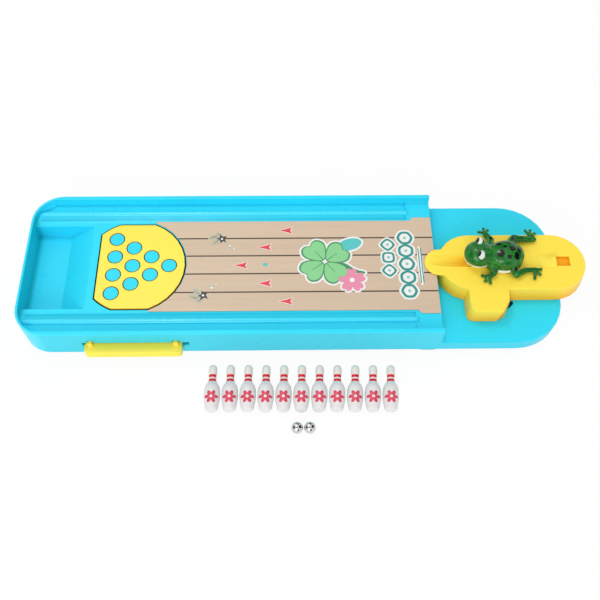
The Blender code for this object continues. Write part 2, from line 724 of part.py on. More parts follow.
# The aiming lobe's left and front sides and its corners towards the right, at the housing's
# bottom and top, as shares of LOBE_REACH measured from the pivot
LOBE_SIDE_SHARES = ((-0.128, -1.0), (-0.097, -0.982))
LOBE_CORNER_SHARES = (
    ((0.381, -1.0), (0.522, -0.919), (0.679, -0.611)),
    ((0.446, -0.982), (0.564, -0.773), (0.595, -0.538)),
)


def housing_share(z):
    """How far up the housing's draft the height z is, 0 at the bottom and 1 at the top."""
    return (z - HOUSING_BOTTOM) / (HOUSING_TOP - HOUSING_BOTTOM)


def shrunk(outline, inset):
    """A convex counter-clockwise outline with every side moved inwards."""
    lines = []
    for start, end in zip(outline, outline[1:] + outline[:1]):
        along = (Vector(end) - Vector(start)).normalized()
        lines.append((Vector(start) + Vector((-along.y, along.x)) * inset, along))
    points = []
    for (p, u), (q, v) in zip(lines[-1:] + lines[:-1], lines):
        reach = (q - p).cross(v) / u.cross(v)
        points.append(tuple(p + u * reach))
    return points


def lobe_outline(z, inset):
    """The aiming lobe at the height z, running back into the body."""
    share = housing_share(z)

    def blend(low, high):
        return [LOBE_REACH * (a + (b - a) * share) for a, b in zip(low, high)]

    left, front = blend(*LOBE_SIDE_SHARES)
    outline = arc((PIVOT_X + left + LOBE_ROUND, front + LOBE_ROUND), LOBE_ROUND, 180, 270, CORNER_STEPS)
    for low, high in zip(*LOBE_CORNER_SHARES):
        x, y = blend(low, high)
        outline.append((PIVOT_X + x, y))
    outline += [(outline[-1][0], -LOBE_ROOT), (PIVOT_X + left, -LOBE_ROOT)]
    return shrunk(outline, inset)


def body_loft(name, inset, bottom, top):
    """The head and body between two heights, with the housing's draft."""
    def outline(z):
        return stadium(PIVOT_X, TAIL_X, HEAD_RADIUS + DRAFT * (1 - housing_share(z)) - inset)
    return loft(name, outline(bottom), outline(top), bottom, top)


def lobe_loft(name, inset, bottom, top):
    return loft(name, lobe_outline(bottom, inset), lobe_outline(top, inset), bottom, top)


def groove_line(x):
    """Height of the groove's floor at x."""
    return GROOVE_FLOOR + (PIVOT_X + GROOVE_BACK - x) * GROOVE_RISE / GROOVE_RUN


def groove_cutter():
    """A round-bottomed groove that rises from the ball's seat and runs out over the nose."""
    back = PIVOT_X + GROOVE_BACK
    front = PIVOT_X - NOSE_REACH - 2 * NOSE_RADIUS
    section = arc((0, 0), GROOVE_RADIUS, 180, 360, ARC_STEPS)
    section += [(GROOVE_RADIUS, HOUSING_TOP), (-GROOVE_RADIUS, HOUSING_TOP)]
    verts = []
    for x in (front, back):
        axis = groove_line(x) + GROOVE_RADIUS
        verts += [(x, y, axis + z) for y, z in section]
    count = len(section)
    faces = [tuple(range(count)), tuple(range(2 * count - 1, count - 1, -1))]
    faces += [(i, (i + 1) % count, count + (i + 1) % count, count + i) for i in range(count)]
    return solid("groove", verts, faces)


def groove_shell():
    """The trough that carries the groove inside the hollow housing."""
    back = PIVOT_X + GROOVE_BACK + HOUSING_SHELL
    front = PIVOT_X - HEAD_RADIUS - DRAFT - OVERRUN
    half = GROOVE_RADIUS + HOUSING_SHELL
    section = [(front, groove_line(front) - HOUSING_SHELL), (back, groove_line(back) - HOUSING_SHELL),
               (back, BOARD_WIDTH), (front, BOARD_WIDTH)]
    return along_y("groove_shell", section, -half, half)


def post_places():
    return [(PIVOT_X + x, y) for x, y in POST_PLACES]


def rod(name, start, end, radius):
    turn = Matrix(((0, 0, 1, 0), (1, 0, 0, 0), (0, 1, 0, ROD_HEIGHT), (0, 0, 0, 1)))
    return bake(disc(name, (0, 0), radius, start, end, SMALL_SIDES), turn)


def make_launcher_housing(mat):
    housing = body_loft("launcher_housing", 0, HOUSING_BOTTOM, HOUSING_TOP)
    nose_x = PIVOT_X - NOSE_REACH
    nose = prism("nose", stadium(nose_x, PIVOT_X, NOSE_RADIUS), PLAY_HEIGHT + FIT, HOUSING_TOP)
    housing = join(housing, lobe_loft("lobe", 0, HOUSING_BOTTOM, HOUSING_TOP), nose)
    tip = nose_x - NOSE_RADIUS
    slope = along_y("slope", [(tip - OVERRUN, HOUSING_TOP + OVERRUN),
                              (tip - FIT, HOUSING_TOP - NOSE_SLOPE_DROP),
                              (tip + NOSE_SLOPE_LENGTH, HOUSING_TOP),
                              (tip + NOSE_SLOPE_LENGTH, HOUSING_TOP + OVERRUN)],
                    -NOSE_RADIUS - OVERRUN, NOSE_RADIUS + OVERRUN)
    hollow = join(body_loft("hollow", HOUSING_SHELL, HOUSING_BOTTOM, HOUSING_CEILING),
                  lobe_loft("lobe_hollow", HOUSING_SHELL, HOUSING_BOTTOM, HOUSING_CEILING))
    posts = [disc("post", place, POST_RADIUS, BASE_TOP + FIT, BOARD_WIDTH) for place in post_places()]
    hollow = cut(hollow, groove_shell(), *posts)
    slot = box("thumb_slot", (PIVOT_X + THUMB_SLOT_START, -THUMB_SLOT_WIDTH / 2, STRIKER_BOTTOM),
               (PIVOT_X + THUMB_SLOT_START + THUMB_SLOT_LENGTH, THUMB_SLOT_WIDTH / 2, BOARD_WIDTH))
    rod_hole = rod("rod_hole", PIVOT_X - SMALL_STEP, PIVOT_X + HEAD_RADIUS / 2, ROD_RADIUS + SLACK)
    pilots = [disc("pilot", place, PILOT_RADIUS, 0, BASE_TOP + POST_SCREW_LENGTH) for place in post_places()]
    pilots += [disc("pilot", place, PILOT_RADIUS, 0, BOARD_WIDTH) for place in frog_screw_places()]
    housing = cut(housing, slope, hollow, groove_cutter(), slot, rod_hole, *pilots)
    return finish(housing, mat, (PIVOT_X, 0, HOUSING_BOTTOM))


def make_launcher_base(mat):
    gap = HOUSING_SHELL + FIT
    base = join(body_loft("launcher_base", gap, HOUSING_BOTTOM, HOUSING_CEILING),
                lobe_loft("lobe_base", gap + SLACK, HOUSING_BOTTOM, HOUSING_CEILING))
    above = box("above", (0, -BOARD_WIDTH, BASE_TOP), (BOARD_LENGTH, BOARD_WIDTH, RIM_HEIGHT))
    base = cut(base, above)
    middle = HOUSING_BOTTOM + BASE_THICKNESS / 2
    spring_stop = PIVOT_X + SPRING_LUG_PLACE + SPRING_LUG_LENGTH + SPRING_LENGTH + 2 * FIT
    adds = [disc("spigot", (PIVOT_X, 0), SPIGOT_RADIUS, SPIGOT_END, middle, HOLE_SIDES),
            disc("boss", (PIVOT_X, 0), BASE_BOSS_RADIUS, middle, BASE_TOP + BASE_BOSS_HEIGHT),
            disc("guide", (GUIDE_X, GUIDE_Y), GUIDE_SPIGOT_RADIUS, SPIGOT_END,
                 BASE_TOP + BASE_BOSS_HEIGHT),
            box("spring_stop", (spring_stop, -SPRING_LUG_WIDTH / 2, middle),
                (spring_stop + SPRING_STOP_LENGTH, SPRING_LUG_WIDTH / 2, BASE_TOP + SPRING_STOP_HEIGHT))]
    for side in (-1, 1):
        y = side * RAIL_PLACE
        adds.append(box("rail", (PIVOT_X + SPRING_LUG_PLACE - OVERRUN, y - RAIL_WIDTH / 2, middle),
                        (PIVOT_X + STRIKER_REAR, y + RAIL_WIDTH / 2, STRIKER_BOTTOM - FIT)))
    base = join(base, *adds)
    pilots = [disc("pilot", (PIVOT_X, 0), PILOT_RADIUS, 0, RIM_HEIGHT),
              disc("pilot", (GUIDE_X, GUIDE_Y), PILOT_RADIUS, 0, RIM_HEIGHT)]
    pilots += [disc("pilot", place, PILOT_RADIUS, 0, RIM_HEIGHT) for place in post_places()]
    sinks = [disc("sink", place, SCREW_HEAD_RADIUS + FIT, 0, HOUSING_BOTTOM + BASE_THICKNESS / 2)
             for place in post_places()]
    return finish(cut(base, *pilots, *sinks), mat, (PIVOT_X, 0, HOUSING_BOTTOM))


def make_launcher_screws(mat):
    """Small screws whose flat heads sink into the launcher's base plate."""
    low = HOUSING_BOTTOM + FIT / 2
    top = HOUSING_BOTTOM + BASE_THICKNESS / 2 - FIT
    profile = [(0, low), (SCREW_HEAD_RADIUS, low), (SCREW_HEAD_RADIUS, top), (SCREW_RADIUS, top),
               (SCREW_RADIUS, top + POST_SCREW_LENGTH - SCREW_RADIUS), (0, top + POST_SCREW_LENGTH)]
    for i, place in enumerate(post_places()):
        screw = turned(f"launcher_screw_{i + 1}", profile, SMALL_SIDES)
        finish(bake(screw, Matrix.Translation((*place, 0))), mat, (*place, low))


def washer(name, place, radius, mat):
    top = SPIGOT_END - FIT
    ring = disc(name, place, radius, top - WASHER_THICKNESS, top, HOLE_SIDES)
    hole = disc("hole", place, PILOT_RADIUS, 0, RIM_HEIGHT)
    return finish(cut(ring, hole), mat, (*place, top))


def make_swivel_hardware(mat):
    head_top = SPIGOT_END - 2 * FIT - WASHER_THICKNESS
    for name, place, radius in (("pivot", (PIVOT_X, 0), WASHER_RADIUS),
                                ("guide", (GUIDE_X, GUIDE_Y), GUIDE_WASHER_RADIUS)):
        washer(name + "_washer", place, radius, mat)
        length = BASE_TOP + BASE_BOSS_HEIGHT - head_top - SMALL_STEP / 2
        finish(pan_screw(name + "_screw", place, head_top, length), mat, (*place, head_top))


def make_striker_slide(mat):
    half = STRIKER_WIDTH / 2
    plate = box("striker_slide", (PIVOT_X + STRIKER_FRONT, -half, STRIKER_BOTTOM),
                (PIVOT_X + STRIKER_REAR, half, STRIKER_TOP))
    lug_x = PIVOT_X + SPRING_LUG_PLACE
    lug = box("lug", (lug_x, -SPRING_LUG_WIDTH / 2, STRIKER_BOTTOM - SPRING_LUG_DROP),
              (lug_x + SPRING_LUG_LENGTH, SPRING_LUG_WIDTH / 2, STRIKER_TOP - STRIKER_THICKNESS / 2))
    tip = rod("rod", PIVOT_X + ROD_TIP, PIVOT_X + STRIKER_FRONT + STRIKER_WIDTH / 2, ROD_RADIUS)
    return finish(join(plate, lug, tip), mat, (PIVOT_X, 0, ROD_HEIGHT))


def make_thumb_rest(mat):
    """Hump with a hollow for the thumb in front of its crest."""
    start = PIVOT_X + THUMB_SLOT_START + FIT
    base = STRIKER_TOP + FIT
    side_shares = ((0.0, 0.0), (1.0, 0.0), (1.0, 0.30), (0.95, 0.62), (0.86, 0.90), (0.76, 1.0),
                   (0.66, 0.97), (0.54, 0.80), (0.42, 0.62), (0.28, 0.52), (0.12, 0.46), (0.0, 0.38))
    section = [(start + x * THUMB_LENGTH, base + z * THUMB_HEIGHT) for x, z in side_shares]
    rest = along_y("thumb_rest", section, -THUMB_WIDTH / 2, THUMB_WIDTH / 2)
    return finish(rest, mat, (PIVOT_X, 0, ROD_HEIGHT))


def make_launch_spring(mat):
    """Compression spring along X between the striker's lug and the stop of the launcher base."""
    start = PIVOT_X + SPRING_LUG_PLACE + SPRING_LUG_LENGTH + FIT + SPRING_WIRE_RADIUS
    length = SPRING_LENGTH - 2 * SPRING_WIRE_RADIUS
    sides, per_turn = 5, 9
    count = SPRING_TURNS * per_turn
    verts = []
    for i in range(count + 1):
        turn = 2 * math.pi * i / per_turn
        # The wire's rings stand square to the helix, and both ends lie flat for half a turn
        share = min(max((i / count) * (1 + 1 / SPRING_TURNS) - 0.5 / SPRING_TURNS, 0), 1)
        radial = Vector((0, math.cos(turn), math.sin(turn)))
        centre = Vector((start + share * length, 0, SPRING_HEIGHT)) + radial * SPRING_RADIUS
        for side in range(sides):
            angle = 2 * math.pi * side / sides
            offset = radial * math.cos(angle) + Vector((1, 0, 0)) * math.sin(angle)
            verts.append(centre + offset * SPRING_WIRE_RADIUS)
    faces = [tuple(range(sides)), tuple(range(len(verts) - 1, len(verts) - 1 - sides, -1))]
    for i in range(count):
        for side in range(sides):
            after = (side + 1) % sides
            faces.append((i * sides + side, i * sides + after,
                          (i + 1) * sides + after, (i + 1) * sides + side))
    least = length / (SPRING_TURNS + 1) - 2 * SPRING_WIRE_RADIUS
    print("launch_spring: least gap between middle turns", round(least, 6), "m")
    return finish(solid("launch_spring", verts, faces), mat, (PIVOT_X, 0, SPRING_HEIGHT))


# Frog: balls as (x, y, z, radius x, radius y, radius z) and limbs as runs of (x, y, z, radius),
# all in shares of FROG_LENGTH, measured from the frog's front on the housing's top face
FROG_BALL_SHARES = (
    (0.195, 0.0, 0.175, 0.185, 0.175, 0.145),
    (0.540, 0.0, 0.150, 0.235, 0.195, 0.140),
    (0.365, 0.0, 0.150, 0.140, 0.145, 0.115),
    (0.520, 0.0, 0.050, 0.265, 0.205, 0.120),
    (0.205, 0.098, 0.280, 0.064, 0.058, 0.064),
    (0.205, -0.098, 0.280, 0.064, 0.058, 0.064),
)
FROG_LIMB_SHARES = (
    ((0.36, -0.12, 0.10, 0.050), (0.37, -0.21, 0.050, 0.036), (0.29, -0.250, 0.030, 0.030)),
    ((0.29, -0.250, 0.030, 0.030), (0.215, -0.230, 0.020, 0.017)),
    ((0.29, -0.250, 0.030, 0.030), (0.235, -0.310, 0.020, 0.017)),
    ((0.29, -0.250, 0.030, 0.030), (0.295, -0.335, 0.020, 0.017)),
    ((0.36, 0.14, 0.10, 0.050), (0.38, 0.30, 0.055, 0.042), (0.32, 0.42, 0.034, 0.030)),
    ((0.32, 0.42, 0.034, 0.030), (0.255, 0.440, 0.022, 0.017)),
    ((0.32, 0.42, 0.034, 0.030), (0.325, 0.490, 0.022, 0.017)),
    ((0.32, 0.42, 0.034, 0.030), (0.245, 0.390, 0.022, 0.017)),
    ((0.62, -0.13, 0.09, 0.062), (0.67, -0.235, 0.055, 0.046), (0.80, -0.165, 0.040, 0.036),
     (0.92, -0.150, 0.032, 0.030)),
    ((0.92, -0.150, 0.032, 0.030), (0.985, -0.140, 0.022, 0.017)),
    ((0.92, -0.150, 0.032, 0.030), (0.965, -0.215, 0.022, 0.017)),
    ((0.92, -0.150, 0.032, 0.030), (0.895, -0.275, 0.022, 0.017)),
    ((0.62, 0.16, 0.09, 0.062), (0.69, 0.300, 0.060, 0.046), (0.93, 0.310, 0.040, 0.036),
     (0.88, 0.410, 0.032, 0.030)),
    ((0.88, 0.410, 0.032, 0.030), (0.865, 0.470, 0.022, 0.017)),
    ((0.88, 0.410, 0.032, 0.030), (0.955, 0.425, 0.022, 0.017)),
)


def add_ball(bm, centre, radii):
    place = Matrix.Translation(centre) @ Matrix.Diagonal((*radii, 1.0))
    bmesh.ops.create_uvsphere(bm, u_segments=16, v_segments=10, radius=1.0, matrix=place)


def add_cone(bm, start, end, start_radius, end_radius):
    """A tapered round bar between two points."""
    axis = end - start
    turn = axis.to_track_quat("Z", "Y").to_matrix().to_4x4()
    place = Matrix.Translation((start + end) / 2) @ turn
    bmesh.ops.create_cone(bm, cap_ends=True, segments=12, radius1=start_radius, radius2=end_radius,
                          depth=axis.length, matrix=place)


def make_frog(mat):
    floor = HOUSING_TOP + FIT
    front = PIVOT_X - FROG_PLACE / 2

    def place(x, y, z):
        return Vector((front + x * FROG_LENGTH, y * FROG_LENGTH, floor + z * FROG_LENGTH))

    bm = bmesh.new()
    for x, y, z, *radii in FROG_BALL_SHARES:
        add_ball(bm, place(x, y, z), [r * FROG_LENGTH for r in radii])
    for run in FROG_LIMB_SHARES:
        for x, y, z, r in run:
            add_ball(bm, place(x, y, z), [r * FROG_LENGTH] * 3)
        for a, b in zip(run, run[1:]):
            add_cone(bm, place(*a[:3]), place(*b[:3]), a[3] * FROG_LENGTH, b[3] * FROG_LENGTH)
    mesh = bpy.data.meshes.new("frog")
    bm.to_mesh(mesh)
    bm.free()
    frog = bpy.data.objects.new("frog", mesh)
    bpy.context.collection.objects.link(frog)
    remesh = frog.modifiers.new("skin", "REMESH")
    remesh.mode = "VOXEL"
    remesh.voxel_size = FROG_VOXEL
    fewer = frog.modifiers.new("fewer", "DECIMATE")
    fewer.ratio = FROG_KEEP_RATIO
    # Flat underside on the housing, and holes for the two screws from below
    under = box("under", (LEFT, -BOARD_WIDTH, -BOARD_WIDTH), (BOARD_LENGTH, BOARD_WIDTH, floor))
    holes = [disc("hole", spot, PILOT_RADIUS, 0, floor + FROG_SCREW_LENGTH) for spot in frog_screw_places()]
    return finish(cut(frog, under, *holes), mat, (front, 0, floor))


def frog_screw_places():
    return [(PIVOT_X + FROG_SCREW_PLACE_X, side * FROG_SCREW_PLACE_Y) for side in (-1, 1)]


def make_frog_screws(mat):
    head_top = HOUSING_CEILING - FIT
    length = FROG_SCREW_LENGTH + SHELL
    for i, place in enumerate(frog_screw_places()):
        finish(pan_screw(f"frog_screw_{i + 1}", place, head_top, length), mat, (*place, head_top))


def pin_profile():
    """Radius and height of the pin as shares of its belly radius and its length."""
    shares = ((0.0, 0.0), (0.58, 0.0), (0.69, 0.035), (0.84, 0.10), (0.94, 0.20), (1.0, 0.355),
              (0.97, 0.47), (0.85, 0.54), (0.68, 0.60), (0.51, 0.66), (0.47, 0.71), (0.47, 0.77),
              (0.50, 0.82), (0.50, 0.89), (0.42, 0.945), (0.24, 0.985), (0.0, 1.0))
    return [(r * PIN_BELLY_RADIUS, z * PIN_LENGTH) for r, z in shares]


def make_pins(mat):
    """Pins that lie side by side on the table, heads away from the near edge."""
    mesh = turned("pin", pin_profile(), PIN_SIDES)
    lying = Matrix.Rotation(-math.pi / 2, 4, "X")
    belly_low = PIN_BELLY_RADIUS * math.cos(math.pi / PIN_SIDES)
    for i in range(PIN_COUNT):
        pin = bpy.data.objects.new(f"pin_{i + 1:02d}", mesh.data.copy())
        bpy.context.collection.objects.link(pin)
        pin.data.transform(lying)
        finish(pin, mat)
        pin.location = (PIN_LINE_START + i * PIN_SPACING, PIN_BASE_LINE - i * PIN_LINE_DRIFT,
                        TABLE_Z + belly_low)
        pin.rotation_euler.z = -math.radians(i * PIN_TURN_STEP)
    bpy.data.objects.remove(mesh, do_unlink=True)


def make_balls(mat):
    for i in range(BALL_COUNT):
        bm = bmesh.new()
        bmesh.ops.create_icosphere(bm, subdivisions=3, radius=BALL_RADIUS)
        mesh = bpy.data.meshes.new("ball")
        bm.to_mesh(mesh)
        bm.free()
        ball = bpy.data.objects.new(f"ball_{i + 1}", mesh)
        bpy.context.collection.objects.link(ball)
        finish(ball, mat)
        ball.location = (BALL_LINE_START + i * BALL_SPACING, BALL_LINE, TABLE_Z + BALL_RADIUS)


def main():
    clear_scene()
    blue = material("blue_plastic", BLUE, 0.3)
    yellow = material("yellow_plastic", YELLOW, 0.35)
    orange = material("orange_plastic", ORANGE, 0.35)
    steel = material("steel", STEEL, 0.2, 1.0)
    white = material("white_plastic", WHITE, 0.3)
    make_tray(blue)
    make_lane_sticker(material("printed_sheet", TAN, 0.4))
    make_pin_deck(yellow)
    make_handle_slide(yellow)
    make_base_cover(blue)
    make_base_screws(steel)
    make_feet(material("foot_rubber", RUBBER, 0.8))
    make_launcher_housing(yellow)
    make_launcher_base(yellow)
    make_launcher_screws(steel)
    make_swivel_hardware(steel)
    make_striker_slide(orange)
    make_thumb_rest(yellow)
    make_launch_spring(steel)
    make_frog(material("frog_paint", GREEN, 0.2))
    make_frog_screws(steel)
    make_pins(white)
    make_balls(material("chrome", STEEL, 0.08, 1.0))


main()
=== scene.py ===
"""Looks of the tabletop bowling game: tray, printed lane, launcher, rubber frog, pins and balls."""
import math

import bmesh
import bpy
from mathutils import Matrix, Vector


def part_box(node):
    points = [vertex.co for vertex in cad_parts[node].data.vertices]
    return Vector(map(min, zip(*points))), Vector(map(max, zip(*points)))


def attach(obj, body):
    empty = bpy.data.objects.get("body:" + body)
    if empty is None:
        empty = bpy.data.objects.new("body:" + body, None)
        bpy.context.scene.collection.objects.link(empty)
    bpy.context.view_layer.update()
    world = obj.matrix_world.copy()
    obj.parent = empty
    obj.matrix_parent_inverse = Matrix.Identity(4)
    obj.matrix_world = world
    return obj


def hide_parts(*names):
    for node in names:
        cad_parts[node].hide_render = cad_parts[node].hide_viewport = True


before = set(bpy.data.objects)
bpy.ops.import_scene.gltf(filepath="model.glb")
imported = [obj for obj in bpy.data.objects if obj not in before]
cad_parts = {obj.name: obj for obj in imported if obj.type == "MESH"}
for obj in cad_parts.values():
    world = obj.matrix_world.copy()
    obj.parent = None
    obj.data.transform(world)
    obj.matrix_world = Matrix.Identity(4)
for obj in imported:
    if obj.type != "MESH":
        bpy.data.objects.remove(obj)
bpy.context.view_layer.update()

# Places and sizes of the CAD model that the pieces here are built on, in metres
TABLE_Z = -0.0013
PLAY_HEIGHT = 0.0198
PLANK = 0.014
DECK_X = -0.1077
PEG_REACH = 0.033
STEP_X = 0.09455
PAD_HEIGHT = 0.009
PIT_FLOOR = 0.0077
PIVOT_X = 0.11745
HOUSING_TOP = 0.022
FROG_FLOOR = 0.0223
FROG_FRONT = 0.1107
FROG_LENGTH = 0.052
JAW_SHARE = 0.135
THUMB_START = 0.16385
THUMB_BASE = 0.0202
THUMB_LENGTH = 0.0134
THUMB_WIDTH = 0.007
THUMB_HEIGHT = 0.0068
PIN_LENGTH = 0.0305
PIN_BELLY = 0.00515
PIN_SPACING = 0.01115
PIN_COUNT = 11
PIN_LINE_START = -0.0524
PIN_BASE_LINE = -0.0966
PIN_LINE_DRIFT = 0.00011
PIN_TURN_DEGREES = 0.4
BALL_RADIUS = 0.0037
BALL_COUNT = 2
BALL_SPACING = 0.00785
BALL_LINE_START = 0.0008
BALL_LINE = -0.1077

# Depths of surface grain in bumps, in metres
PLASTIC_GRAIN = 1.5e-6
METAL_GRAIN = 4e-6
INK_GRAIN = 6e-6
PRINT_GRAIN = 1e-5
SKIN_GRAIN = 4e-5
RUBBER_GRAIN = 1.2e-4


# Materials

def add_node(tree, kind, values, **settings):
    """A shader node with its settings; each input gets a value or a link to a socket."""
    made = tree.nodes.new(kind)
    for key, value in settings.items():
        setattr(made, key, value)
    for key, value in values.items():
        if isinstance(value, bpy.types.NodeSocket):
            tree.links.new(value, made.inputs[key])
        else:
            made.inputs[key].default_value = value
    return made


class Paint:
    """One node material. Its calls return sockets."""

    def __init__(self, name):
        self.mat = bpy.data.materials.new(name)
        self.mat.use_nodes = True
        self.tree = self.mat.node_tree
        self.place = self.node("ShaderNodeTexCoord", {}).outputs["Object"]
        self.x, self.y, self.z = self.node("ShaderNodeSeparateXYZ", {0: self.place}).outputs

    def node(self, kind, values, **settings):
        return add_node(self.tree, kind, values, **settings)

    def math(self, operation, a, b=0.0, c=0.0):
        return self.node("ShaderNodeMath", {0: a, 1: b, 2: c}, operation=operation).outputs[0]

    def times(self, first, *others):
        for other in others:
            first = self.math("MULTIPLY", first, other)
        return first

    def off(self, value, middle=0.0):
        """How far a value lies from a middle, on either side."""
        return self.math("ABSOLUTE", self.math("SUBTRACT", value, middle) if middle else value)

    def vector(self, operation, a, b=(0.0, 0.0, 0.0), result="Vector"):
        made = self.node("ShaderNodeVectorMath", {0: a, 1: b}, operation=operation)
        return made.outputs[result]

    def distance(self, centre, scale):
        """Distance from a point, measured after stretching the axes."""
        away = self.vector("SUBTRACT", self.place, centre)
        return self.vector("LENGTH", self.vector("MULTIPLY", away, scale), result="Value")

    def noise(self, scale, detail=2.0, stretch=None):
        place = self.vector("MULTIPLY", self.place, stretch) if stretch else self.place
        values = {"Vector": place, "Scale": scale, "Detail": detail}
        return self.node("ShaderNodeTexNoise", values).outputs["Fac"]

    def band(self, value, low, high, start=0.0, end=1.0):
        """Goes from start to end while the value goes from low to high."""
        values = {"Value": value, "From Min": low, "From Max": high, "To Min": start, "To Max": end}
        return self.node("ShaderNodeMapRange", values).outputs["Result"]

    def fall(self, value, low, high):
        return self.band(value, low, high, 1.0, 0.0)

    def window(self, value, starts, full, fades, ends):
        return self.times(self.band(value, starts, full), self.fall(value, fades, ends))

    def patches(self, scale, detail=2.0, start=0.0, end=1.0):
        """Soft patches that go from start to end."""
        return self.band(self.noise(scale, detail), 0.3, 0.7, start, end)

    def mix(self, share, a, b):
        a, b = (x if isinstance(x, bpy.types.NodeSocket) else (*x, 1.0) for x in (a, b))
        return self.node("ShaderNodeMix", {0: share, 6: a, 7: b}, data_type="RGBA").outputs[2]

    def done(self, colour, roughness, height, depth, **constants):
        bump = self.node("ShaderNodeBump", {"Height": height, "Strength": 1.0, "Distance": depth})
        shader = self.tree.nodes["Principled BSDF"]
        for key, socket in (("Base Color", colour), ("Roughness", roughness),
                            ("Normal", bump.outputs[0])):
            self.tree.links.new(socket, shader.inputs[key])
        for key, value in constants.items():
            shader.inputs[key.replace("_", " ")].default_value = value
        return self.mat


def tinted(colour, factor, lift=0.0):
    return tuple(min(c * factor + lift, 1.0) for c in colour)


def plastic(name, colour, gloss, hollow=None, overlay_colour=(0, 0, 0), tone=None, **constants):
    """Moulded plastic: slow tone changes, fine grain, rubbed edges, faint scuffs, and optional
    painted light and shade.
    """
    p = Paint(name)
    grain = p.noise(1700.0)
    scuff = p.band(p.noise(75.0, 4.0, (1.0, 9.0, 9.0)), 0.66, 0.78)
    worn = p.node("ShaderNodeAttribute", {}, attribute_name="worn").outputs["Fac"]
    rubbed = p.times(worn, p.band(p.noise(240.0, 3.0), 0.35, 0.7, 0.02, 0.14))
    cloud = p.band(p.noise(28.0, 3.0), 0.32, 0.68)
    base = p.mix(cloud, tinted(colour, 0.965), tinted(colour, 1.02))
    base = p.mix(p.band(grain, 0.55, 0.85, 0.0, 0.08), base, tinted(colour, 0.88))
    base = p.mix(p.math("MULTIPLY_ADD", scuff, 0.012, rubbed), base, tinted(colour, 0.6, 0.42))
    # tone paints light and shade into the tray's channels.
    if tone:
        base = tone(p, base)
    # The hollow mask lays a second colour over the base: painted shade in the tray's recess and on
    # the deck's walls, a paler lit top over the housing's painted shaded sides, and the striker's
    # yellow front.
    if hollow:
        base = p.mix(hollow(p), base, overlay_colour)
    rough = p.math("ADD", p.patches(150.0, 4.0, gloss - 0.04, gloss + 0.07), p.times(scuff, 0.015))
    return p.done(base, rough, grain, PLASTIC_GRAIN, **constants)


def recess_shade(p):
    """Where the tray lies in the gap round the deck: recess walls, and the pegs to their tops."""
    middle, half_length, half_width, floor = -0.1014, 0.03, 0.0364, 0.014
    wall_top, peg_rise, peg_left, soft = 0.0189, 0.0006, -0.1294, 0.0002
    box = p.times(p.fall(p.off(p.x, middle), half_length, half_length + soft),
                  p.fall(p.off(p.y), half_width, half_width + soft))
    radius = p.distance((DECK_X, 0.0, 0.0), (1.0, 1.0, 0.0))
    pegs = p.times(p.fall(radius, PEG_REACH, PEG_REACH + soft),
                   p.band(p.x, peg_left, peg_left + soft))
    under = p.math("SUBTRACT", p.math("MULTIPLY_ADD", pegs, peg_rise, wall_top), p.z)
    return p.times(box, p.times(p.band(under, 0.0, 0.00012), p.band(p.z, floor, floor + soft)))


def painted_channel_shading(p, base):
    """Painted shade on the outer walls, the pad's side, the valleys beside the lane and the left
    end wall, and painted light on the gutters outside the ridges."""
    side = p.off(p.y)
    wall = p.times(p.band(side, 0.053, 0.0534), p.fall(p.z, 0.0225, 0.024))
    pad = p.times(p.band(p.x, 0.095, 0.0954), p.fall(p.z, 0.008, 0.0084))
    # Painted shade: the outer walls and the pad's side are darker below their tops.
    base = p.mix(p.math("MAXIMUM", wall, pad), base, (0.032, 0.63, 0.8))
    along = p.window(p.x, -0.1725, -0.1723, 0.0778, 0.078)
    slope = p.times(p.window(side, 0.0355, 0.0365, 0.0398, 0.0406), 0.5)
    foot = p.fall(p.off(side, 0.037), 0.0002, 0.0011)
    valley_painted_shade = p.times(p.math("MAXIMUM", slope, foot), along,
                     p.window(p.z, 0.0188, 0.019, 0.0207, 0.0209))
    # Painted shade in the valleys at the foot of the slopes beside the lane.
    base = p.mix(valley_painted_shade, base, (0.006, 0.48, 0.7))
    gutter_painted_light = p.times(p.window(side, 0.0424, 0.0432, 0.05, 0.0506), along,
                     p.window(p.z, 0.017, 0.0172, 0.0204, 0.0206))
    # Painted light: the gutters outside the ridges are paler.
    base = p.mix(gutter_painted_light, base, (0.048, 0.8, 0.99))
    end = p.times(p.band(p.x, -0.1766, -0.1763), p.band(p.x, -0.176, -0.1725, 0.9, 0.0),
                  p.window(p.z, 0.0068, 0.007, 0.024, 0.0242))
    # Painted shade on the inner face of the left end wall.
    return p.mix(end, base, (0.004, 0.5, 0.6))


def hole_shade(p):
    """The walls of the deck plate and of its holes."""
    return p.fall(p.z, PLAY_HEIGHT - 0.00022, PLAY_HEIGHT - 0.00012)


def painted_housing_shade(p):
    """Grows towards the housing's pale lit top; lower down, the sides keep a darker orange, which
    is painted shade.
    """
    return p.band(p.z, 0.01, HOUSING_TOP - 0.0004)


def striker_front(p):
    """The front of the striker, which is seen in the ball groove."""
    return p.fall(p.x, 0.13, 0.1301)


def lane_print(name):
    """Printed boards along X with thin dark joints between them."""
    p = Paint(name)
    tan, deep = (0.64, 0.49, 0.35), (0.56, 0.415, 0.285)
    board = p.math("FLOOR", p.math("DIVIDE", p.math("ADD", p.y, PLANK / 2), PLANK))
    tone = p.node("ShaderNodeTexWhiteNoise", {"W": board}, noise_dimensions="1D").outputs["Value"]
    base = p.mix(tone, tinted(tan, 0.97), tinted(tan, 1.03))
    streak = p.noise(30.0, 5.0, (0.7, 26.0, 1.0))
    base = p.mix(p.band(streak, 0.48, 0.72, 0.0, 0.4), base, deep)
    pores = p.noise(75.0, 3.0, (1.0, 38.0, 1.0))
    base = p.mix(p.band(pores, 0.6, 0.74, 0.0, 0.22), base, tinted(deep, 0.8))
    seam = p.math("PINGPONG", p.math("SUBTRACT", p.y, PLANK / 2), PLANK / 2)
    joint = p.times(p.fall(seam, 0.00042, 0.0006), p.fall(p.off(p.y), 0.03, 0.031))
    base = p.mix(joint, base, p.mix(p.noise(900.0), (0.03, 0.018, 0.012), (0.062, 0.04, 0.026)))
    return p.done(base, p.band(streak, 0.3, 0.7, 0.34, 0.46), pores, PRINT_GRAIN)


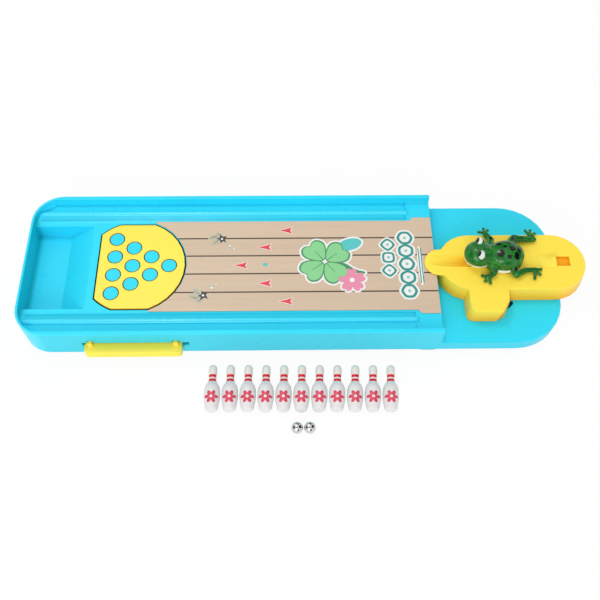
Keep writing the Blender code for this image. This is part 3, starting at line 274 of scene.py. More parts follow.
def ink(name, colour):
    """Printing ink with a fine uneven lay-down."""
    p = Paint(name)
    fine = p.band(p.noise(2600.0), 0.35, 0.75)
    slow = p.patches(120.0, 3.0)
    base = p.mix(fine, tinted(colour, 1.04, 0.01), tinted(colour, 0.9))
    base = p.mix(p.times(slow, 0.22), base, tinted(colour, 0.82, 0.02))
    return p.done(base, p.band(slow, 0.0, 1.0, 0.34, 0.44), fine, INK_GRAIN)


# Spots of the frog as (x, y, z, radius along, radius across) in shares of its length
FROG_SPOT_SHARES = (
    (0.441, 0.09, 0.254, 0.032, 0.024), (0.538, 0.118, 0.252, 0.056, 0.018),
    (0.505, 0.036, 0.286, 0.026, 0.016), (0.598, 0.01, 0.284, 0.044, 0.038),
    (0.682, 0.0, 0.255, 0.028, 0.042), (0.645, 0.112, 0.243, 0.03, 0.024),
    (0.447, -0.053, 0.27, 0.044, 0.042), (0.547, -0.107, 0.266, 0.03, 0.028),
    (0.642, -0.087, 0.257, 0.032, 0.052), (0.715, 0.318, 0.098, 0.034, 0.022),
    (0.689, 0.25, 0.111, 0.03, 0.03), (0.645, -0.19, 0.112, 0.02, 0.04),
    (0.407, 0.27, 0.085, 0.034, 0.034), (0.73, 0.1, 0.18, 0.026, 0.03),
    (0.745, -0.06, 0.17, 0.024, 0.034), (0.6, 0.19, 0.17, 0.04, 0.03),
    (0.48, 0.19, 0.17, 0.03, 0.028), (0.8, 0.308, 0.075, 0.024, 0.02),
)


def frog_skin(name):
    """Glossy green rubber with black spots, lighter flecks and a white lower jaw and belly."""
    p = Paint(name)
    green, deep, pale = (0.014, 0.19, 0.022), (0.004, 0.1, 0.011), (0.09, 0.43, 0.08)
    base = p.mix(p.band(p.noise(210.0, 3.0), 0.35, 0.65), deep, green)
    base = p.mix(p.band(p.noise(420.0, 3.0), 0.58, 0.74, 0.0, 0.45), base, pale)
    wobble = p.times(p.math("SUBTRACT", p.noise(520.0), 0.5), 0.9)
    dark = 0.0
    for x, y, z, along, across in FROG_SPOT_SHARES:
        scale = [1 / (r * FROG_LENGTH) for r in (along, across, 0.75 * (along + across))]
        edge = p.math("ADD", p.distance(frog_place(x, y, z), scale), wobble)
        dark = p.math("MAXIMUM", dark, p.fall(edge, 0.9, 1.1))
    base = p.mix(dark, base, (0.004, 0.005, 0.004))
    # The white reaches up to the mouth on the head, and less far between the legs
    side, low = p.off(p.y), p.math("MULTIPLY_ADD", p.noise(300.0), 0.0006, p.z)
    jaw, flank = frog_place(0.296, 0, JAW_SHARE), frog_place(0.585, 0.21, 0.082)
    head = p.times(p.fall(low, jaw.z, jaw.z + 0.0004), p.fall(p.x, jaw.x, jaw.x + 0.0006),
                   p.fall(side, 0.0096, 0.0099))
    trunk = p.times(p.fall(low, flank.z, flank.z + 0.0005), p.fall(p.x, flank.x, flank.x + 0.0006),
                    p.fall(side, flank.y, flank.y + 0.0004),
                    p.band(p.x, jaw.x + 0.007, jaw.x + 0.0078))
    base = p.mix(p.math("MAXIMUM", head, trunk), base, (0.82, 0.8, 0.74))
    return p.done(base, p.patches(260.0, 3.0, 0.12, 0.22), p.noise(700.0, 3.0), SKIN_GRAIN,
                  Specular_IOR_Level=0.36)


def eye_paint(name, gaze):
    """Pearly white with a black pupil where the eye looks."""
    p = Paint(name)
    facing = p.vector("DOT_PRODUCT", p.vector("NORMALIZE", p.place), gaze, "Value")
    base = p.mix(p.patches(900.0), (0.8, 0.82, 0.8), (0.62, 0.66, 0.64))
    base = p.mix(p.band(facing, 0.66, 0.7), base, (0.006, 0.006, 0.008))
    return p.done(base, p.patches(500.0, 2.0, 0.1, 0.18), p.noise(1500.0), PRINT_GRAIN)


def pin_paint(name):
    """White plastic with two red rings at the neck and a printed blossom on the belly."""
    p = Paint(name)
    red, rose, white = (0.76, 0.01, 0.03), (0.66, 0.06, 0.11), (0.74, 0.725, 0.72)
    base = p.mix(p.patches(160.0, 3.0), tinted(white, 0.95), tinted(white, 1.02))
    # Towards the head the white is painted warmer, set against the blue light the tray throws on
    # it: painted light.
    base = p.mix(p.band(p.y, 0.011, 0.0235, 0.0, 0.75), base, (0.76, 0.71, 0.63))
    rings = 0.0
    for under_top in (0.0077, 0.0107):
        ring_edge = p.fall(p.off(p.y, PIN_LENGTH - under_top), 0.00088, 0.00098)
        rings = p.math("MAXIMUM", rings, ring_edge)
    base = p.mix(rings, base, p.mix(p.noise(800.0), red, tinted(red, 0.85)))
    # Six petals round a white heart, seen from above
    heart_place, heart_radius, petal_length = 0.0078, 0.0023, 0.0021
    y = p.math("SUBTRACT", p.y, heart_place)
    reach = p.math("SQRT", p.math("MULTIPLY_ADD", p.x, p.x, p.times(y, y)))
    lobes = p.off(p.math("COSINE", p.times(p.math("ARCTAN2", y, p.x), 3.0)))
    rim = p.math("MULTIPLY_ADD", lobes, petal_length, heart_radius)
    petal = p.times(p.band(p.math("SUBTRACT", rim, reach), 0.0, 0.00018),
                    p.band(reach, 0.0008, 0.001), p.band(p.z, 0.0002, 0.0006))
    vein = p.band(p.noise(900.0, 3.0), 0.52, 0.66, 0.0, 0.5)
    base = p.mix(petal, base, p.mix(vein, rose, tinted(rose, 0.75, 0.18)))
    return p.done(base, p.patches(220.0, 3.0, 0.22, 0.34), p.noise(1300.0), PRINT_GRAIN,
                  Specular_IOR_Level=0.25)


def metal(name, colour, gloss, scratch):
    """Bright metal with fine scratches."""
    p = Paint(name)
    fine = p.noise(scratch, 4.0, (1.0, 9.0, 1.0))
    base = p.mix(p.patches(190.0, 3.0), tinted(colour, 0.9), tinted(colour, 1.04))
    rough = p.band(fine, 0.35, 0.7, gloss * 0.7, gloss * 1.7)
    return p.done(base, rough, fine, METAL_GRAIN, Metallic=1.0)


def rubber(name, colour):
    """Dull rubber or foam with fine pores."""
    p = Paint(name)
    pores = p.noise(1100.0, 3.0)
    base = p.mix(p.patches(140.0, 3.0), tinted(colour, 0.85), tinted(colour, 1.08))
    base = p.mix(p.band(pores, 0.6, 0.8, 0.0, 0.4), base, tinted(colour, 0.5))
    return p.done(base, p.band(pores, 0.3, 0.7, 0.62, 0.8), pores, RUBBER_GRAIN)


# Geometry

# How CAD edges are found and rounded, in metres and degrees
WELD = 1.6e-5
FLAT_ANGLE = 0.4
BEVEL_ANGLE = 28.0
BEVEL_STEPS = 3
WORN_AREA = 3e-6


def shown(name, bm, body, mat, sharp=40.0, place=(0, 0, 0), turn=0.0):
    """A mesh object from a bmesh, shaded smooth but for its sharp edges, which rides on a body."""
    mesh = bpy.data.meshes.new(name)
    bm.normal_update()
    for face in bm.faces:
        face.smooth = True
    for edge in bm.edges:
        edge.smooth = edge.calc_face_angle(0.0) < math.radians(sharp)
    bm.to_mesh(mesh)
    bm.free()
    obj = bpy.data.objects.new(name, mesh)
    bpy.context.collection.objects.link(obj)
    mesh.materials.clear()
    mesh.materials.append(mat)
    obj.location = place
    obj.rotation_euler.z = turn
    if body:
        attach(obj, body)
    return obj


def modifier(obj, name, kind, **settings):
    made = obj.modifiers.new(name, kind)
    for key, value in settings.items():
        setattr(made, key, value)


def rounded(node, name, body, mat, slot, *passes):
    """A copy of a CAD node with flat areas joined up again and its sharp edges rounded.

    Each pass is a width and a test of an edge's middle. An edge takes the first pass that fits,
    and stays sharp if none does.
    """
    bm = bmesh.new()
    bm.from_mesh(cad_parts[node].data)
    bmesh.ops.remove_doubles(bm, verts=bm.verts, dist=WELD)
    bmesh.ops.dissolve_limit(bm, angle_limit=math.radians(FLAT_ANGLE), verts=bm.verts,
                             edges=bm.edges)
    weights = bm.edges.layers.float.new("bevel_weight_edge")
    widest = max(width for width, fits in passes)
    for edge in bm.edges:
        if len(edge.link_faces) == 2 and edge.calc_face_angle(0.0) > math.radians(BEVEL_ANGLE):
            middle = (edge.verts[0].co + edge.verts[1].co) / 2
            edge[weights] = next((w for w, fits in passes if fits(middle)), 0.0) / widest
    source = raw(name + "_raw", bm, tidy=False)
    modifier(source, "edges", "BEVEL", limit_method="WEIGHT", width=widest, segments=BEVEL_STEPS,
             use_clamp_overlap=False, miter_inner="MITER_SHARP")
    bm = evaluated(source)
    worn = bm.faces.layers.float.new("worn")
    for face in bm.faces:
        face[worn] = 1.0 if face.calc_area() < WORN_AREA and len(face.verts) == 4 else 0.0
    obj = shown(name, bm, body, mat)
    modifier(obj, "normals", "WEIGHTED_NORMAL", keep_sharp=True)
    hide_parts(node)


def dressed(node, mat, width, segments):
    """A CAD node that stays, with a material and finely rounded edges."""
    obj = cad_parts[node]
    obj.data.materials.clear()
    obj.data.materials.append(mat)
    modifier(obj, "edges", "BEVEL", width=width, segments=segments)


def around(count):
    """Angles at equal steps through a full turn."""
    return [2 * math.pi * i / count for i in range(count)]


def turned(bm, profile, sides, matrix=Matrix.Identity(4)):
    """Adds a solid turned about Z from (radius, z) points that run up from axis to axis."""
    rings = []
    for radius, z in profile:
        places = [Vector((radius * math.cos(t), radius * math.sin(t), z))
                  for t in (around(sides) if radius else [0.0])]
        rings.append([bm.verts.new(matrix @ place) for place in places])
    for low, high in zip(rings, rings[1:]):
        for i in range(sides):
            j = (i + 1) % sides
            if len(low) == 1:
                bm.faces.new((low[0], high[j], high[i]))
            elif len(high) == 1:
                bm.faces.new((low[i], low[j], high[0]))
            else:
                bm.faces.new((low[i], low[j], high[j], high[i]))


def hoop(bm, x, y, z, radius, sides):
    """A ring of vertices round a line along X."""
    return [bm.verts.new((x, y + radius * math.cos(t), z + radius * math.sin(t)))
            for t in around(sides)]


def tube(bm, rings, capped=True):
    """Joins rings of vertices one to the next."""
    count = len(rings[0])
    for a, b in zip(rings, rings[1:]):
        for i in range(count):
            j = (i + 1) % count
            bm.faces.new((a[i], a[j], b[j], b[i]))
    if capped:
        bm.faces.new(rings[0])
        bm.faces.new(rings[-1])
        bmesh.ops.recalc_face_normals(bm, faces=bm.faces)


def slab(bm, outline, bottom, top):
    """Adds a prism on a counter-clockwise outline."""
    low, high = ([bm.verts.new((x, y, z)) for x, y in outline] for z in (bottom, top))
    bm.faces.new(low[::-1])
    bm.faces.new(high)
    tube(bm, [low, high], capped=False)


def flowing(points, rounds, closed=False, near=0.75, far=0.25):
    """Cuts the corners of a line again and again, so that it flows."""
    for _ in range(rounds):
        cut = []
        for a, b in zip(points, points[1:] + points[:1] if closed else points[1:]):
            for s, t in ((near, far), (far, near)):
                cut.append(tuple(u * s + v * t for u, v in zip(a, b)))
        points = cut if closed else [points[0]] + cut + [points[-1]]
    return points


def turned_area(outline):
    """Twice the area of an outline, less than zero where it runs clockwise."""
    return sum(a[0] * b[1] - b[0] * a[1] for a, b in zip(outline, outline[1:] + outline[:1]))


def raw(name, bm, tidy=True):
    """A plain object for a modifier or a Boolean step."""
    mesh = bpy.data.meshes.new(name)
    if tidy:
        bmesh.ops.recalc_face_normals(bm, faces=bm.faces)
    bm.to_mesh(mesh)
    bm.free()
    obj = bpy.data.objects.new(name, mesh)
    bpy.context.collection.objects.link(obj)
    return obj


def evaluated(obj, tools=()):
    """The bmesh of an object with its modifiers applied; the object and its tools are removed."""
    bpy.context.view_layer.update()
    mesh = bpy.data.meshes.new_from_object(
        obj.evaluated_get(bpy.context.evaluated_depsgraph_get()))
    bm = bmesh.new()
    bm.from_mesh(mesh)
    bpy.data.meshes.remove(mesh)
    for used in (obj, *tools):
        bpy.data.objects.remove(used, do_unlink=True)
    return bm


# The moulded pieces

BLUE = (0.027, 0.702, 0.925)
FRONT_YELLOW = (1.0, 0.79, 0.08)
SATIN = {"Specular_IOR_Level": 0.25}
DULL = {"Specular_IOR_Level": 0.22}

# The tray gets a near-black painted shade in the gap round the deck, and painted light and shade in
# its channels.
blue = plastic("blue_moulding", BLUE, 0.3, recess_shade, (0.003, 0.11, 0.12), painted_channel_shading, **DULL)
bead_blue = plastic("blue_bead", (0.035, 0.715, 0.935), 0.24, Specular_IOR_Level=0.6)
cover_blue = plastic("blue_cover", BLUE, 0.3, **DULL)
yellow = plastic("yellow_moulding", FRONT_YELLOW, 0.36, **SATIN)
# The housing's lower sides are painted a darker orange shade, under a paler lit yellow top.
housing_yellow = plastic("housing_moulding", (1.0, 0.47, 0.012), 0.36, painted_housing_shade,
                         (1.0, 0.765, 0.07), **SATIN)
# The deck's outer walls and hole walls carry a painted orange-brown shade.
deck_yellow = plastic("deck_moulding", (0.985, 0.8, 0.095), 0.34, hole_shade,
                      (0.98, 0.43, 0.016), **SATIN)
orange = plastic("orange_moulding", (1.0, 0.4, 0.004), 0.36, striker_front, FRONT_YELLOW, **SATIN)
steel = metal("zinc_steel", (0.7, 0.7, 0.72), 0.26, 1400.0)
wire = metal("spring_wire", (0.62, 0.62, 0.64), 0.3, 2200.0)
chrome = metal("polished_ball", (0.64, 0.64, 0.65), 0.03, 500.0)
foot_rubber = rubber("foot_foam", (0.04, 0.48, 0.64))


def within(x=(-1, 1), side=(-1, 1), z=(-1, 1)):
    """A test of a place by ranges of X, of the distance from Y = 0 and of Z."""
    return lambda middle: (x[0] < middle.x < x[1] and side[0] < abs(middle.y) < side[1]
                           and z[0] < middle.z < z[1])


def above(height):
    return within(z=(height, 1))


def peg_top(middle):
    reach = math.hypot(middle.x - DECK_X, middle.y)
    return middle.z > 0.0194 and reach < PEG_REACH and middle.x > -0.129


everywhere = within()
gutter_corner = within((-1, -0.15), (0.036, 1), (0.0165, 0.0225))
gutter_floor = within((-1, STEP_X - 0.01), (0.04, 1), (0.0165, 0.0185))
deck_gap = within((-0.14, -0.069), (-1, 0.0368), (0.012, 1))
pad_slot = within((STEP_X + 0.004, 0.16), (-1, 0.0485), (0.0085, 1))
pad_edge = within((STEP_X + 0.0005, 1), z=(0.0085, 0.0095))
thumb_slot = within((0.15, 1), (-1, 0.0045), (0.0205, 1))
underside = within(z=(-1, 0.00005))

rounded("tray", "tray_moulding", "board", blue, "blue_plastic", (0.0, gutter_corner),
        (0.0, gutter_floor), (0.00035, peg_top), (0.00014, deck_gap), (0.0001, pad_slot),
        (0.0009, pad_edge), (0.0006, above(0.024)), (0.00035, above(0.0001)))
rounded("base_cover", "cover_plate", "board", cover_blue, "blue_plastic", (0.00015, underside))
rounded("pin_deck", "deck_plate", "deck", deck_yellow, "yellow_plastic", (0.0003, above(0.0178)))
rounded("handle_slide", "handle_moulding", "handle", yellow, "yellow_plastic",
        (0.00035, everywhere))
rounded("launcher_housing", "housing_moulding_shell", "launcher", housing_yellow,
        "yellow_plastic", (0.0001, thumb_slot), (0.0005, above(0.0195)))
rounded("launcher_base", "launcher_plate", "launcher", yellow, "yellow_plastic",
        (0.00015, everywhere))
rounded("striker_slide", "striker_moulding", "striker", orange, "orange_plastic",
        (0.00025, everywhere))
rounded("lane_sticker", "lane_sheet", "board", lane_print("printed_boards"), "printed_sheet",
        (0.00008, above(0.0195)))


def ridge_beads():
    """The rounded tops of the ridges beside the lane, each domed at both ends."""
    start, end, radius, sides = -0.1718, 0.0774, 0.0023, 28
    ridge_y, ridge_z = 0.0418, 0.01885
    turns = [(start, -1, a) for a in range(15, 91, 15)] + [(end, 1, a) for a in range(90, 14, -15)]
    for name, side in (("ridge_bead_far", 1), ("ridge_bead_near", -1)):
        bm = bmesh.new()
        rings = [hoop(bm, x + out * radius * math.cos(math.radians(a)), side * ridge_y, ridge_z,
                      radius * math.sin(math.radians(a)), sides) for x, out, a in turns]
        tube(bm, rings, capped=False)
        for rim, x in ((rings[0], start - radius), (rings[-1], end + radius)):
            tip = bm.verts.new((x, side * ridge_y, ridge_z))
            for i in range(sides):
                bm.faces.new((rim[i], rim[(i + 1) % sides], tip))
        bmesh.ops.recalc_face_normals(bm, faces=bm.faces)
        shown(name, bm, "board", bead_blue, 60.0)


def mould_marks():
    """Low round marks that the mould left on the launch pad and in the pit."""
    sunk, radius = -0.0002, 0.0011
    dome = [(0, sunk), (radius, sunk), (radius, 0.0), (0.0009, 0.00022), (0.0006, 0.0003),
            (0.00045, 0.0001), (0, 0.0001)]
    bm = bmesh.new()
    for place in ((0.1191, 0.0421, PAD_HEIGHT), (0.1191, -0.0421, PAD_HEIGHT),
                  (-0.1684, 0.0005, PIT_FLOOR)):
        turned(bm, dome, 32, Matrix.Translation(place))
    shown("mould_marks", bm, "board", blue, 50.0)


def nose_rails():
    """Two fine beads along the rims of the ball groove, from the nose to under the frog."""
    nose_tip, nose_drop, nose_run = 0.08675, 0.0013, 0.0062
    start, length, count = 0.0898, 0.033, 40
    groove_radius, groove_floor, groove_end, groove_slope = 0.0042, 0.0158, 0.11765, 0.21145
    radius, sides, sunk, aside = 0.00042, 12, 0.0001, 0.0003
    for name, side in (("nose_rail_far", 1), ("nose_rail_near", -1)):
        bm = bmesh.new()
        rings = []
        for i in range(count + 1):
            share = i / count
            x = start + share * length
            top = HOUSING_TOP - nose_drop * max(0.0, 1 - (x - nose_tip) / nose_run)
            deep = top - groove_floor - (groove_end - x) * groove_slope
            deep = min(max(deep, 0.0), groove_radius)
            half = math.sqrt(2 * groove_radius * deep - deep * deep)
            y = side * max(half + aside, 0.0018 + (x - 0.0903) * 0.105)
            swell = math.sin(math.pi * min(max(share * 4, 0.04), 0.5)) if share < 0.5 else 1
            rings.append(hoop(bm, x, y, top - sunk, radius * swell, sides))
        tube(bm, rings)
        shown(name, bm, "launcher", housing_yellow, 60.0)


def thumb_rest():
    """A soft hump on a tongue in the slot, with a hollow for the thumb in front of its crest."""
    crest = flowing([(-0.045, 0.0), (0.04, 0.03), (0.16, 0.1), (0.28, 0.18), (0.38, 0.32),
                     (0.48, 0.66), (0.58, 0.97), (0.68, 1.0), (0.75, 0.78), (0.79, 0.25)], 2)
    tongue_share, lip_width, hump_width, narrowing = 0.775, 0.0045, 0.0006, 0.0008
    lip = HOUSING_TOP + 0.00006
    rise = THUMB_BASE + THUMB_HEIGHT - 0.0014 - lip
    bm = bmesh.new()
    rows = []
    for share, height in crest:
        x = THUMB_START + share * THUMB_LENGTH
        front = max(0.0, (0.1 - share) / 0.145)
        half = lip_width + hump_width * min(height * 3, 1) - narrowing * front ** 2
        row = []
        for i in range(17):
            across = -1 + i / 8
            bulge = (1 - across * across) ** 1.1
            row.append(bm.verts.new((x, across * half, lip + 0.00008 + rise * height * bulge)))
        rows.append(row + [bm.verts.new((x, half * y, lip)) for y in (0.97, 0.0, -0.97)])
    tube(bm, rows)
    hump = raw("hump", bm)
    bm = bmesh.new()
    half, end = THUMB_WIDTH / 2, THUMB_START + tongue_share * THUMB_LENGTH
    slab(bm, [(THUMB_START, -half), (end, -half), (end, half), (THUMB_START, half)], THUMB_BASE,
         lip + 0.00005)
    tongue = raw("tongue", bm)
    modifier(hump, "union", "BOOLEAN", operation="UNION", object=tongue)
    bm = evaluated(hump, [tongue])
    obj = shown("thumb_hump", bm, "striker", yellow, 50.0)
    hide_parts("thumb_rest")


ridge_beads()
mould_marks()
nose_rails()
thumb_rest()


# Screws, spring and feet

# Screws stand head down; each profile is (radius, height over the head's underside)
SCREW_RADIUS = 0.001
BASE_HEAD_HEIGHT = 0.0013
PAN_HEAD_HEIGHT = 0.0014
POST_SCREW_LENGTH = 0.0075
COUNTERSUNK = [(0, 0), (0.0024, 0), (0.0025, 0.0001), (SCREW_RADIUS, BASE_HEAD_HEIGHT)]
FLAT_HEAD = [(0, 0), (0.0023, 0), (0.0025, 0.0001), (0.0025, 0.0003)]
PAN_HEAD = [(0, 0), (0.0014, 0.00005), (0.002, 0.0003), (0.0024, 0.0008),
            (0.0024, PAN_HEAD_HEIGHT)]


def screw_shank(start, length):
    """A shank with thread-like rings and a blunt tip."""
    points = [(SCREW_RADIUS, start)]
    pitch = SCREW_RADIUS * 0.7
    z = start + pitch
    while z < length - 2 * SCREW_RADIUS:
        points += [(SCREW_RADIUS * 0.8, z), (SCREW_RADIUS, z + pitch * 0.45)]
        z += pitch
    return points + [(SCREW_RADIUS * 0.7, length - SCREW_RADIUS * 0.8), (0, length)]


def screw(node, body, head, start, recess):
    """A screw in place of a CAD node; start is where its shank leaves the head."""
    low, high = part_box(node)
    bm = bmesh.new()
    turned(bm, head + screw_shank(start, high.z - low.z), 28)
    made = raw(node + "_raw", bm)
    tools = []
    bar, end = recess, recess * 0.22
    for turn in (0.35, 0.35 + math.pi / 2):
        bm = bmesh.new()
        slab(bm, [(-bar, -end), (bar, -end), (bar, end), (-bar, end)], -0.001, recess * 0.55)
        tool = raw("recess", bm)
        tool.data.transform(Matrix.Rotation(turn, 4, "Z"))
        modifier(made, "recess", "BOOLEAN", operation="DIFFERENCE", object=tool)
        tools.append(tool)
    bm = evaluated(made, tools)
    bm.transform(Matrix.Translation(((low.x + high.x) / 2, (low.y + high.y) / 2, low.z)))
    obj = shown(node + "_threaded", bm, body, steel, 30.0)
    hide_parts(node)


def add_screws():
    for node in sorted(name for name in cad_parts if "screw" in name):
        low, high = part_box(node)
        if node.startswith("base_screw"):
            screw(node, "board", COUNTERSUNK, BASE_HEAD_HEIGHT, 0.0016)
        elif node.startswith("launcher_screw"):
            screw(node, "launcher", FLAT_HEAD, high.z - low.z - POST_SCREW_LENGTH, 0.0016)
        else:
            screw(node, "launcher", PAN_HEAD, PAN_HEAD_HEIGHT, 0.0015)


def coil():
    """The launch spring with a round wire and closed ends."""
    low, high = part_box("launch_spring")
    wire_radius, turns, per_turn, sides = 0.00035, 8, 36, 10
    radius = (high.y - low.y) / 2 - wire_radius
    start, length = low.x + wire_radius, high.x - low.x - 2 * wire_radius
    count = turns * per_turn
    bm = bmesh.new()
    rings = []
    for i in range(count + 1):
        turn = 2 * math.pi * i / per_turn
        share = min(max((i / count) * (1 + 1 / turns) - 0.5 / turns, 0), 1)
        out = Vector((0, math.cos(turn), math.sin(turn)))
        centre = Vector((start + share * length, 0, (low.z + high.z) / 2)) + out * radius
        rings.append([bm.verts.new(centre + wire_radius * (out * math.cos(a)
                                                           + Vector((math.sin(a), 0, 0))))
                      for a in around(sides)])
    tube(bm, rings)
    obj = shown("spring_coil", bm, "launcher", wire)
    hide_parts("launch_spring")


add_screws()
coil()
for washer in ("pivot_washer", "guide_washer"):
    dressed(washer, steel, width=0.00012, segments=2)
for number in range(1, 7):
    dressed(f"foot_{number}", foot_rubber, width=0.00025, segments=3)


# Frog

# Balls as (x, y, z, radius x, radius y, radius z), in shares of the frog's length
FROG_BALL_SHARES = (
    (0.195, 0.0, 0.175, 0.185, 0.175, 0.145), (0.54, 0.0, 0.15, 0.235, 0.195, 0.14),
    (0.365, 0.0, 0.15, 0.14, 0.145, 0.115), (0.52, 0.0, 0.05, 0.265, 0.205, 0.12),
    (0.2, 0.096, 0.278, 0.064, 0.062, 0.06), (0.2, -0.088, 0.278, 0.064, 0.062, 0.06),
)
# Legs as a run of (x, y, z, radius), the toes' height, and toes as (x, y, tip's x, tip's y)
FROG_LEG_SHARES = (
    (((0.37, -0.12, 0.1, 0.054), (0.39, -0.21, 0.055, 0.04), (0.325, -0.25, 0.03, 0.032)),
     0.02, ((0.262, -0.233, 0.242, -0.229), (0.28, -0.295, 0.268, -0.308),
            (0.33, -0.318, 0.332, -0.336))),
    (((0.37, 0.14, 0.1, 0.054), (0.405, 0.28, 0.06, 0.048), (0.352, 0.41, 0.036, 0.032)),
     0.024, ((0.3, 0.43, 0.282, 0.434), (0.35, 0.466, 0.348, 0.482),
             (0.385, 0.446, 0.398, 0.458))),
    (((0.62, -0.13, 0.09, 0.062), (0.67, -0.235, 0.055, 0.046), (0.8, -0.165, 0.04, 0.034),
      (0.92, -0.15, 0.032, 0.028)),
     0.022, ((0.98, -0.142, 1.0, -0.14), (0.966, -0.204, 0.978, -0.218),
             (0.905, -0.258, 0.901, -0.276))),
    (((0.62, 0.16, 0.09, 0.066), (0.7, 0.3, 0.062, 0.052), (0.975, 0.3, 0.04, 0.034),
      (0.935, 0.385, 0.034, 0.03)),
     0.024, ((0.9, 0.432, 0.892, 0.448), (0.952, 0.436, 0.957, 0.452),
             (0.99, 0.4, 1.006, 0.404))),
)
TOE_RADIUS_SHARES = (0.028, 0.017, 0.022)
FROG_VOXEL = 0.00036
# Screw holes from below, at (x, y) and (x, -y), with their (radius, top)
FROG_SCREW_PLACE = (PIVOT_X + 0.023, 0.0083)
FROG_SCREW_HOLE = (0.0013, FROG_FLOOR + 0.0046)


def frog_place(x, y, z):
    return Vector((FROG_FRONT + x * FROG_LENGTH, y * FROG_LENGTH, FROG_FLOOR + z * FROG_LENGTH))


def frog_runs():
    """Each leg and then its toes, as runs of (x, y, z, radius)."""
    root_radius, middle_radius, tip_radius = TOE_RADIUS_SHARES
    for leg, toe_z, toes in FROG_LEG_SHARES:
        yield leg
        for x, y, tip_x, tip_y in toes:
            yield ((*leg[-1][:3], root_radius), (x, y, toe_z, middle_radius),
                   (tip_x, tip_y, toe_z, tip_radius))


def frog_flesh():
    """Balls and limbs grown together under one smooth skin."""
    bm = bmesh.new()
    for x, y, z, *radii in FROG_BALL_SHARES:
        size = Matrix.Diagonal((*(r * FROG_LENGTH for r in radii), 1.0))
        bmesh.ops.create_uvsphere(bm, u_segments=32, v_segments=20, radius=1.0,
                                  matrix=Matrix.Translation(frog_place(x, y, z)) @ size)
    for run in frog_runs():
        for x, y, z, r in run:
            bmesh.ops.create_uvsphere(bm, u_segments=16, v_segments=10, radius=r * FROG_LENGTH,
                                      matrix=Matrix.Translation(frog_place(x, y, z)))
        for a, b in zip(run, run[1:]):
            start, end = frog_place(*a[:3]), frog_place(*b[:3])
            turn = (end - start).to_track_quat("Z", "Y").to_matrix().to_4x4()
            bmesh.ops.create_cone(bm, cap_ends=True, segments=16, radius1=a[3] * FROG_LENGTH,
                                  radius2=b[3] * FROG_LENGTH, depth=(end - start).length,
                                  matrix=Matrix.Translation((start + end) / 2) @ turn)
    body = raw("frog_raw", bm)
    modifier(body, "skin", "REMESH", mode="VOXEL", voxel_size=FROG_VOXEL)
    modifier(body, "soft", "SMOOTH", factor=0.5, iterations=7)
    return evaluated(body)


def frog():
    bm = frog_flesh()
    # A mouth line round the front of the head, over a full lower lip
    head_end, head_fade, groove_depth, lip_height = 0.34, 0.08, 0.00035, 0.00055
    for v in bm.verts:
        share = (v.co - Vector((FROG_FRONT, 0, FROG_FLOOR))) / FROG_LENGTH
        if share.x < head_end:
            fade = min(1.0, (head_end - share.x) / head_fade)
            groove = groove_depth * math.exp(-((share.z - JAW_SHARE - 0.006) / 0.007) ** 2)
            lip = lip_height * math.exp(-((share.z - JAW_SHARE + 0.035) / 0.03) ** 2)
            v.co += v.normal * fade * (lip - groove)
    bm.normal_update()
    body = raw("frog_body", bm)
    bm = bmesh.new()
    slab(bm, [(0.09, -0.04), (0.18, -0.04), (0.18, 0.04), (0.09, 0.04)], 0.0, FROG_FLOOR)
    tools = [raw("under", bm)]
    x, y = FROG_SCREW_PLACE
    radius, top = FROG_SCREW_HOLE
    for side in (-1, 1):
        bm = bmesh.new()
        turned(bm, [(0, 0.01), (radius, 0.01), (radius, top), (0, top)], 16,
               Matrix.Translation((x, side * y, 0)))
        tools.append(raw("hole", bm))
    for tool in tools:
        modifier(body, "cut", "BOOLEAN", operation="DIFFERENCE", object=tool)
    bm = evaluated(body, tools)
    obj = shown("frog_figure", bm, "launcher", frog_skin("frog_skin"), 55.0)
    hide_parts("frog")


def frog_eye(name, side):
    """An eyeball let into its lid, with its own origin so that the pupil follows its gaze."""
    bm = bmesh.new()
    bmesh.ops.create_uvsphere(bm, u_segments=32, v_segments=20, radius=1.0)
    bmesh.ops.scale(bm, vec=Vector((0.0024, 0.003, 0.0031)), verts=bm.verts)
    gaze = Vector((-0.8, 0.12, 0.5)).normalized()
    shown(name, bm, "launcher", eye_paint(name + "_paint", gaze),
          place=frog_place(0.19, side * 0.098 + 0.004, 0.292))


frog()
frog_eye("frog_eye_near", -1)
frog_eye("frog_eye_far", 1)


# Pins and balls

def pins():
    """Pins that lie with their bases to the front; the profile is in shares of belly and length."""
    foot = [(0.0, 0.0), (0.56, 0.0)]
    rest = [(0.68, 0.006), (0.76, 0.03), (0.82, 0.08), (0.92, 0.17), (1.0, 0.26), (1.0, 0.36),
            (0.98, 0.45), (0.89, 0.525), (0.7, 0.58), (0.51, 0.63), (0.46, 0.68), (0.46, 0.78),
            (0.53, 0.82), (0.53, 0.9), (0.52, 0.955), (0.32, 1.0), (0.0, 1.0)]
    profile = [(r * PIN_BELLY, z * PIN_LENGTH) for r, z in foot + flowing(rest, 2)]
    paint = pin_paint("pin_plastic_print")
    lying = Matrix.Rotation(-math.pi / 2, 4, "X")
    for i in range(PIN_COUNT):
        bm = bmesh.new()
        turned(bm, profile, 56, lying)
        place = (PIN_LINE_START + i * PIN_SPACING, PIN_BASE_LINE - i * PIN_LINE_DRIFT,
                 TABLE_Z + PIN_BELLY)
        pin = f"pin_{i + 1:02d}"
        obj = shown("bowling_" + pin, bm, pin, paint, place=place,
                    turn=-math.radians(PIN_TURN_DEGREES * i))
        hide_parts(pin)


def balls():
    for i in range(BALL_COUNT):
        bm = bmesh.new()
        bmesh.ops.create_icosphere(bm, subdivisions=5, radius=BALL_RADIUS)
        place = (BALL_LINE_START + i * BALL_SPACING, BALL_LINE, TABLE_Z + BALL_RADIUS)
        ball = f"ball_{i + 1}"
        obj = shown("steel_" + ball, bm, ball, chrome, place=place)
        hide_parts(ball)


pins()
balls()


# Printing on the lane

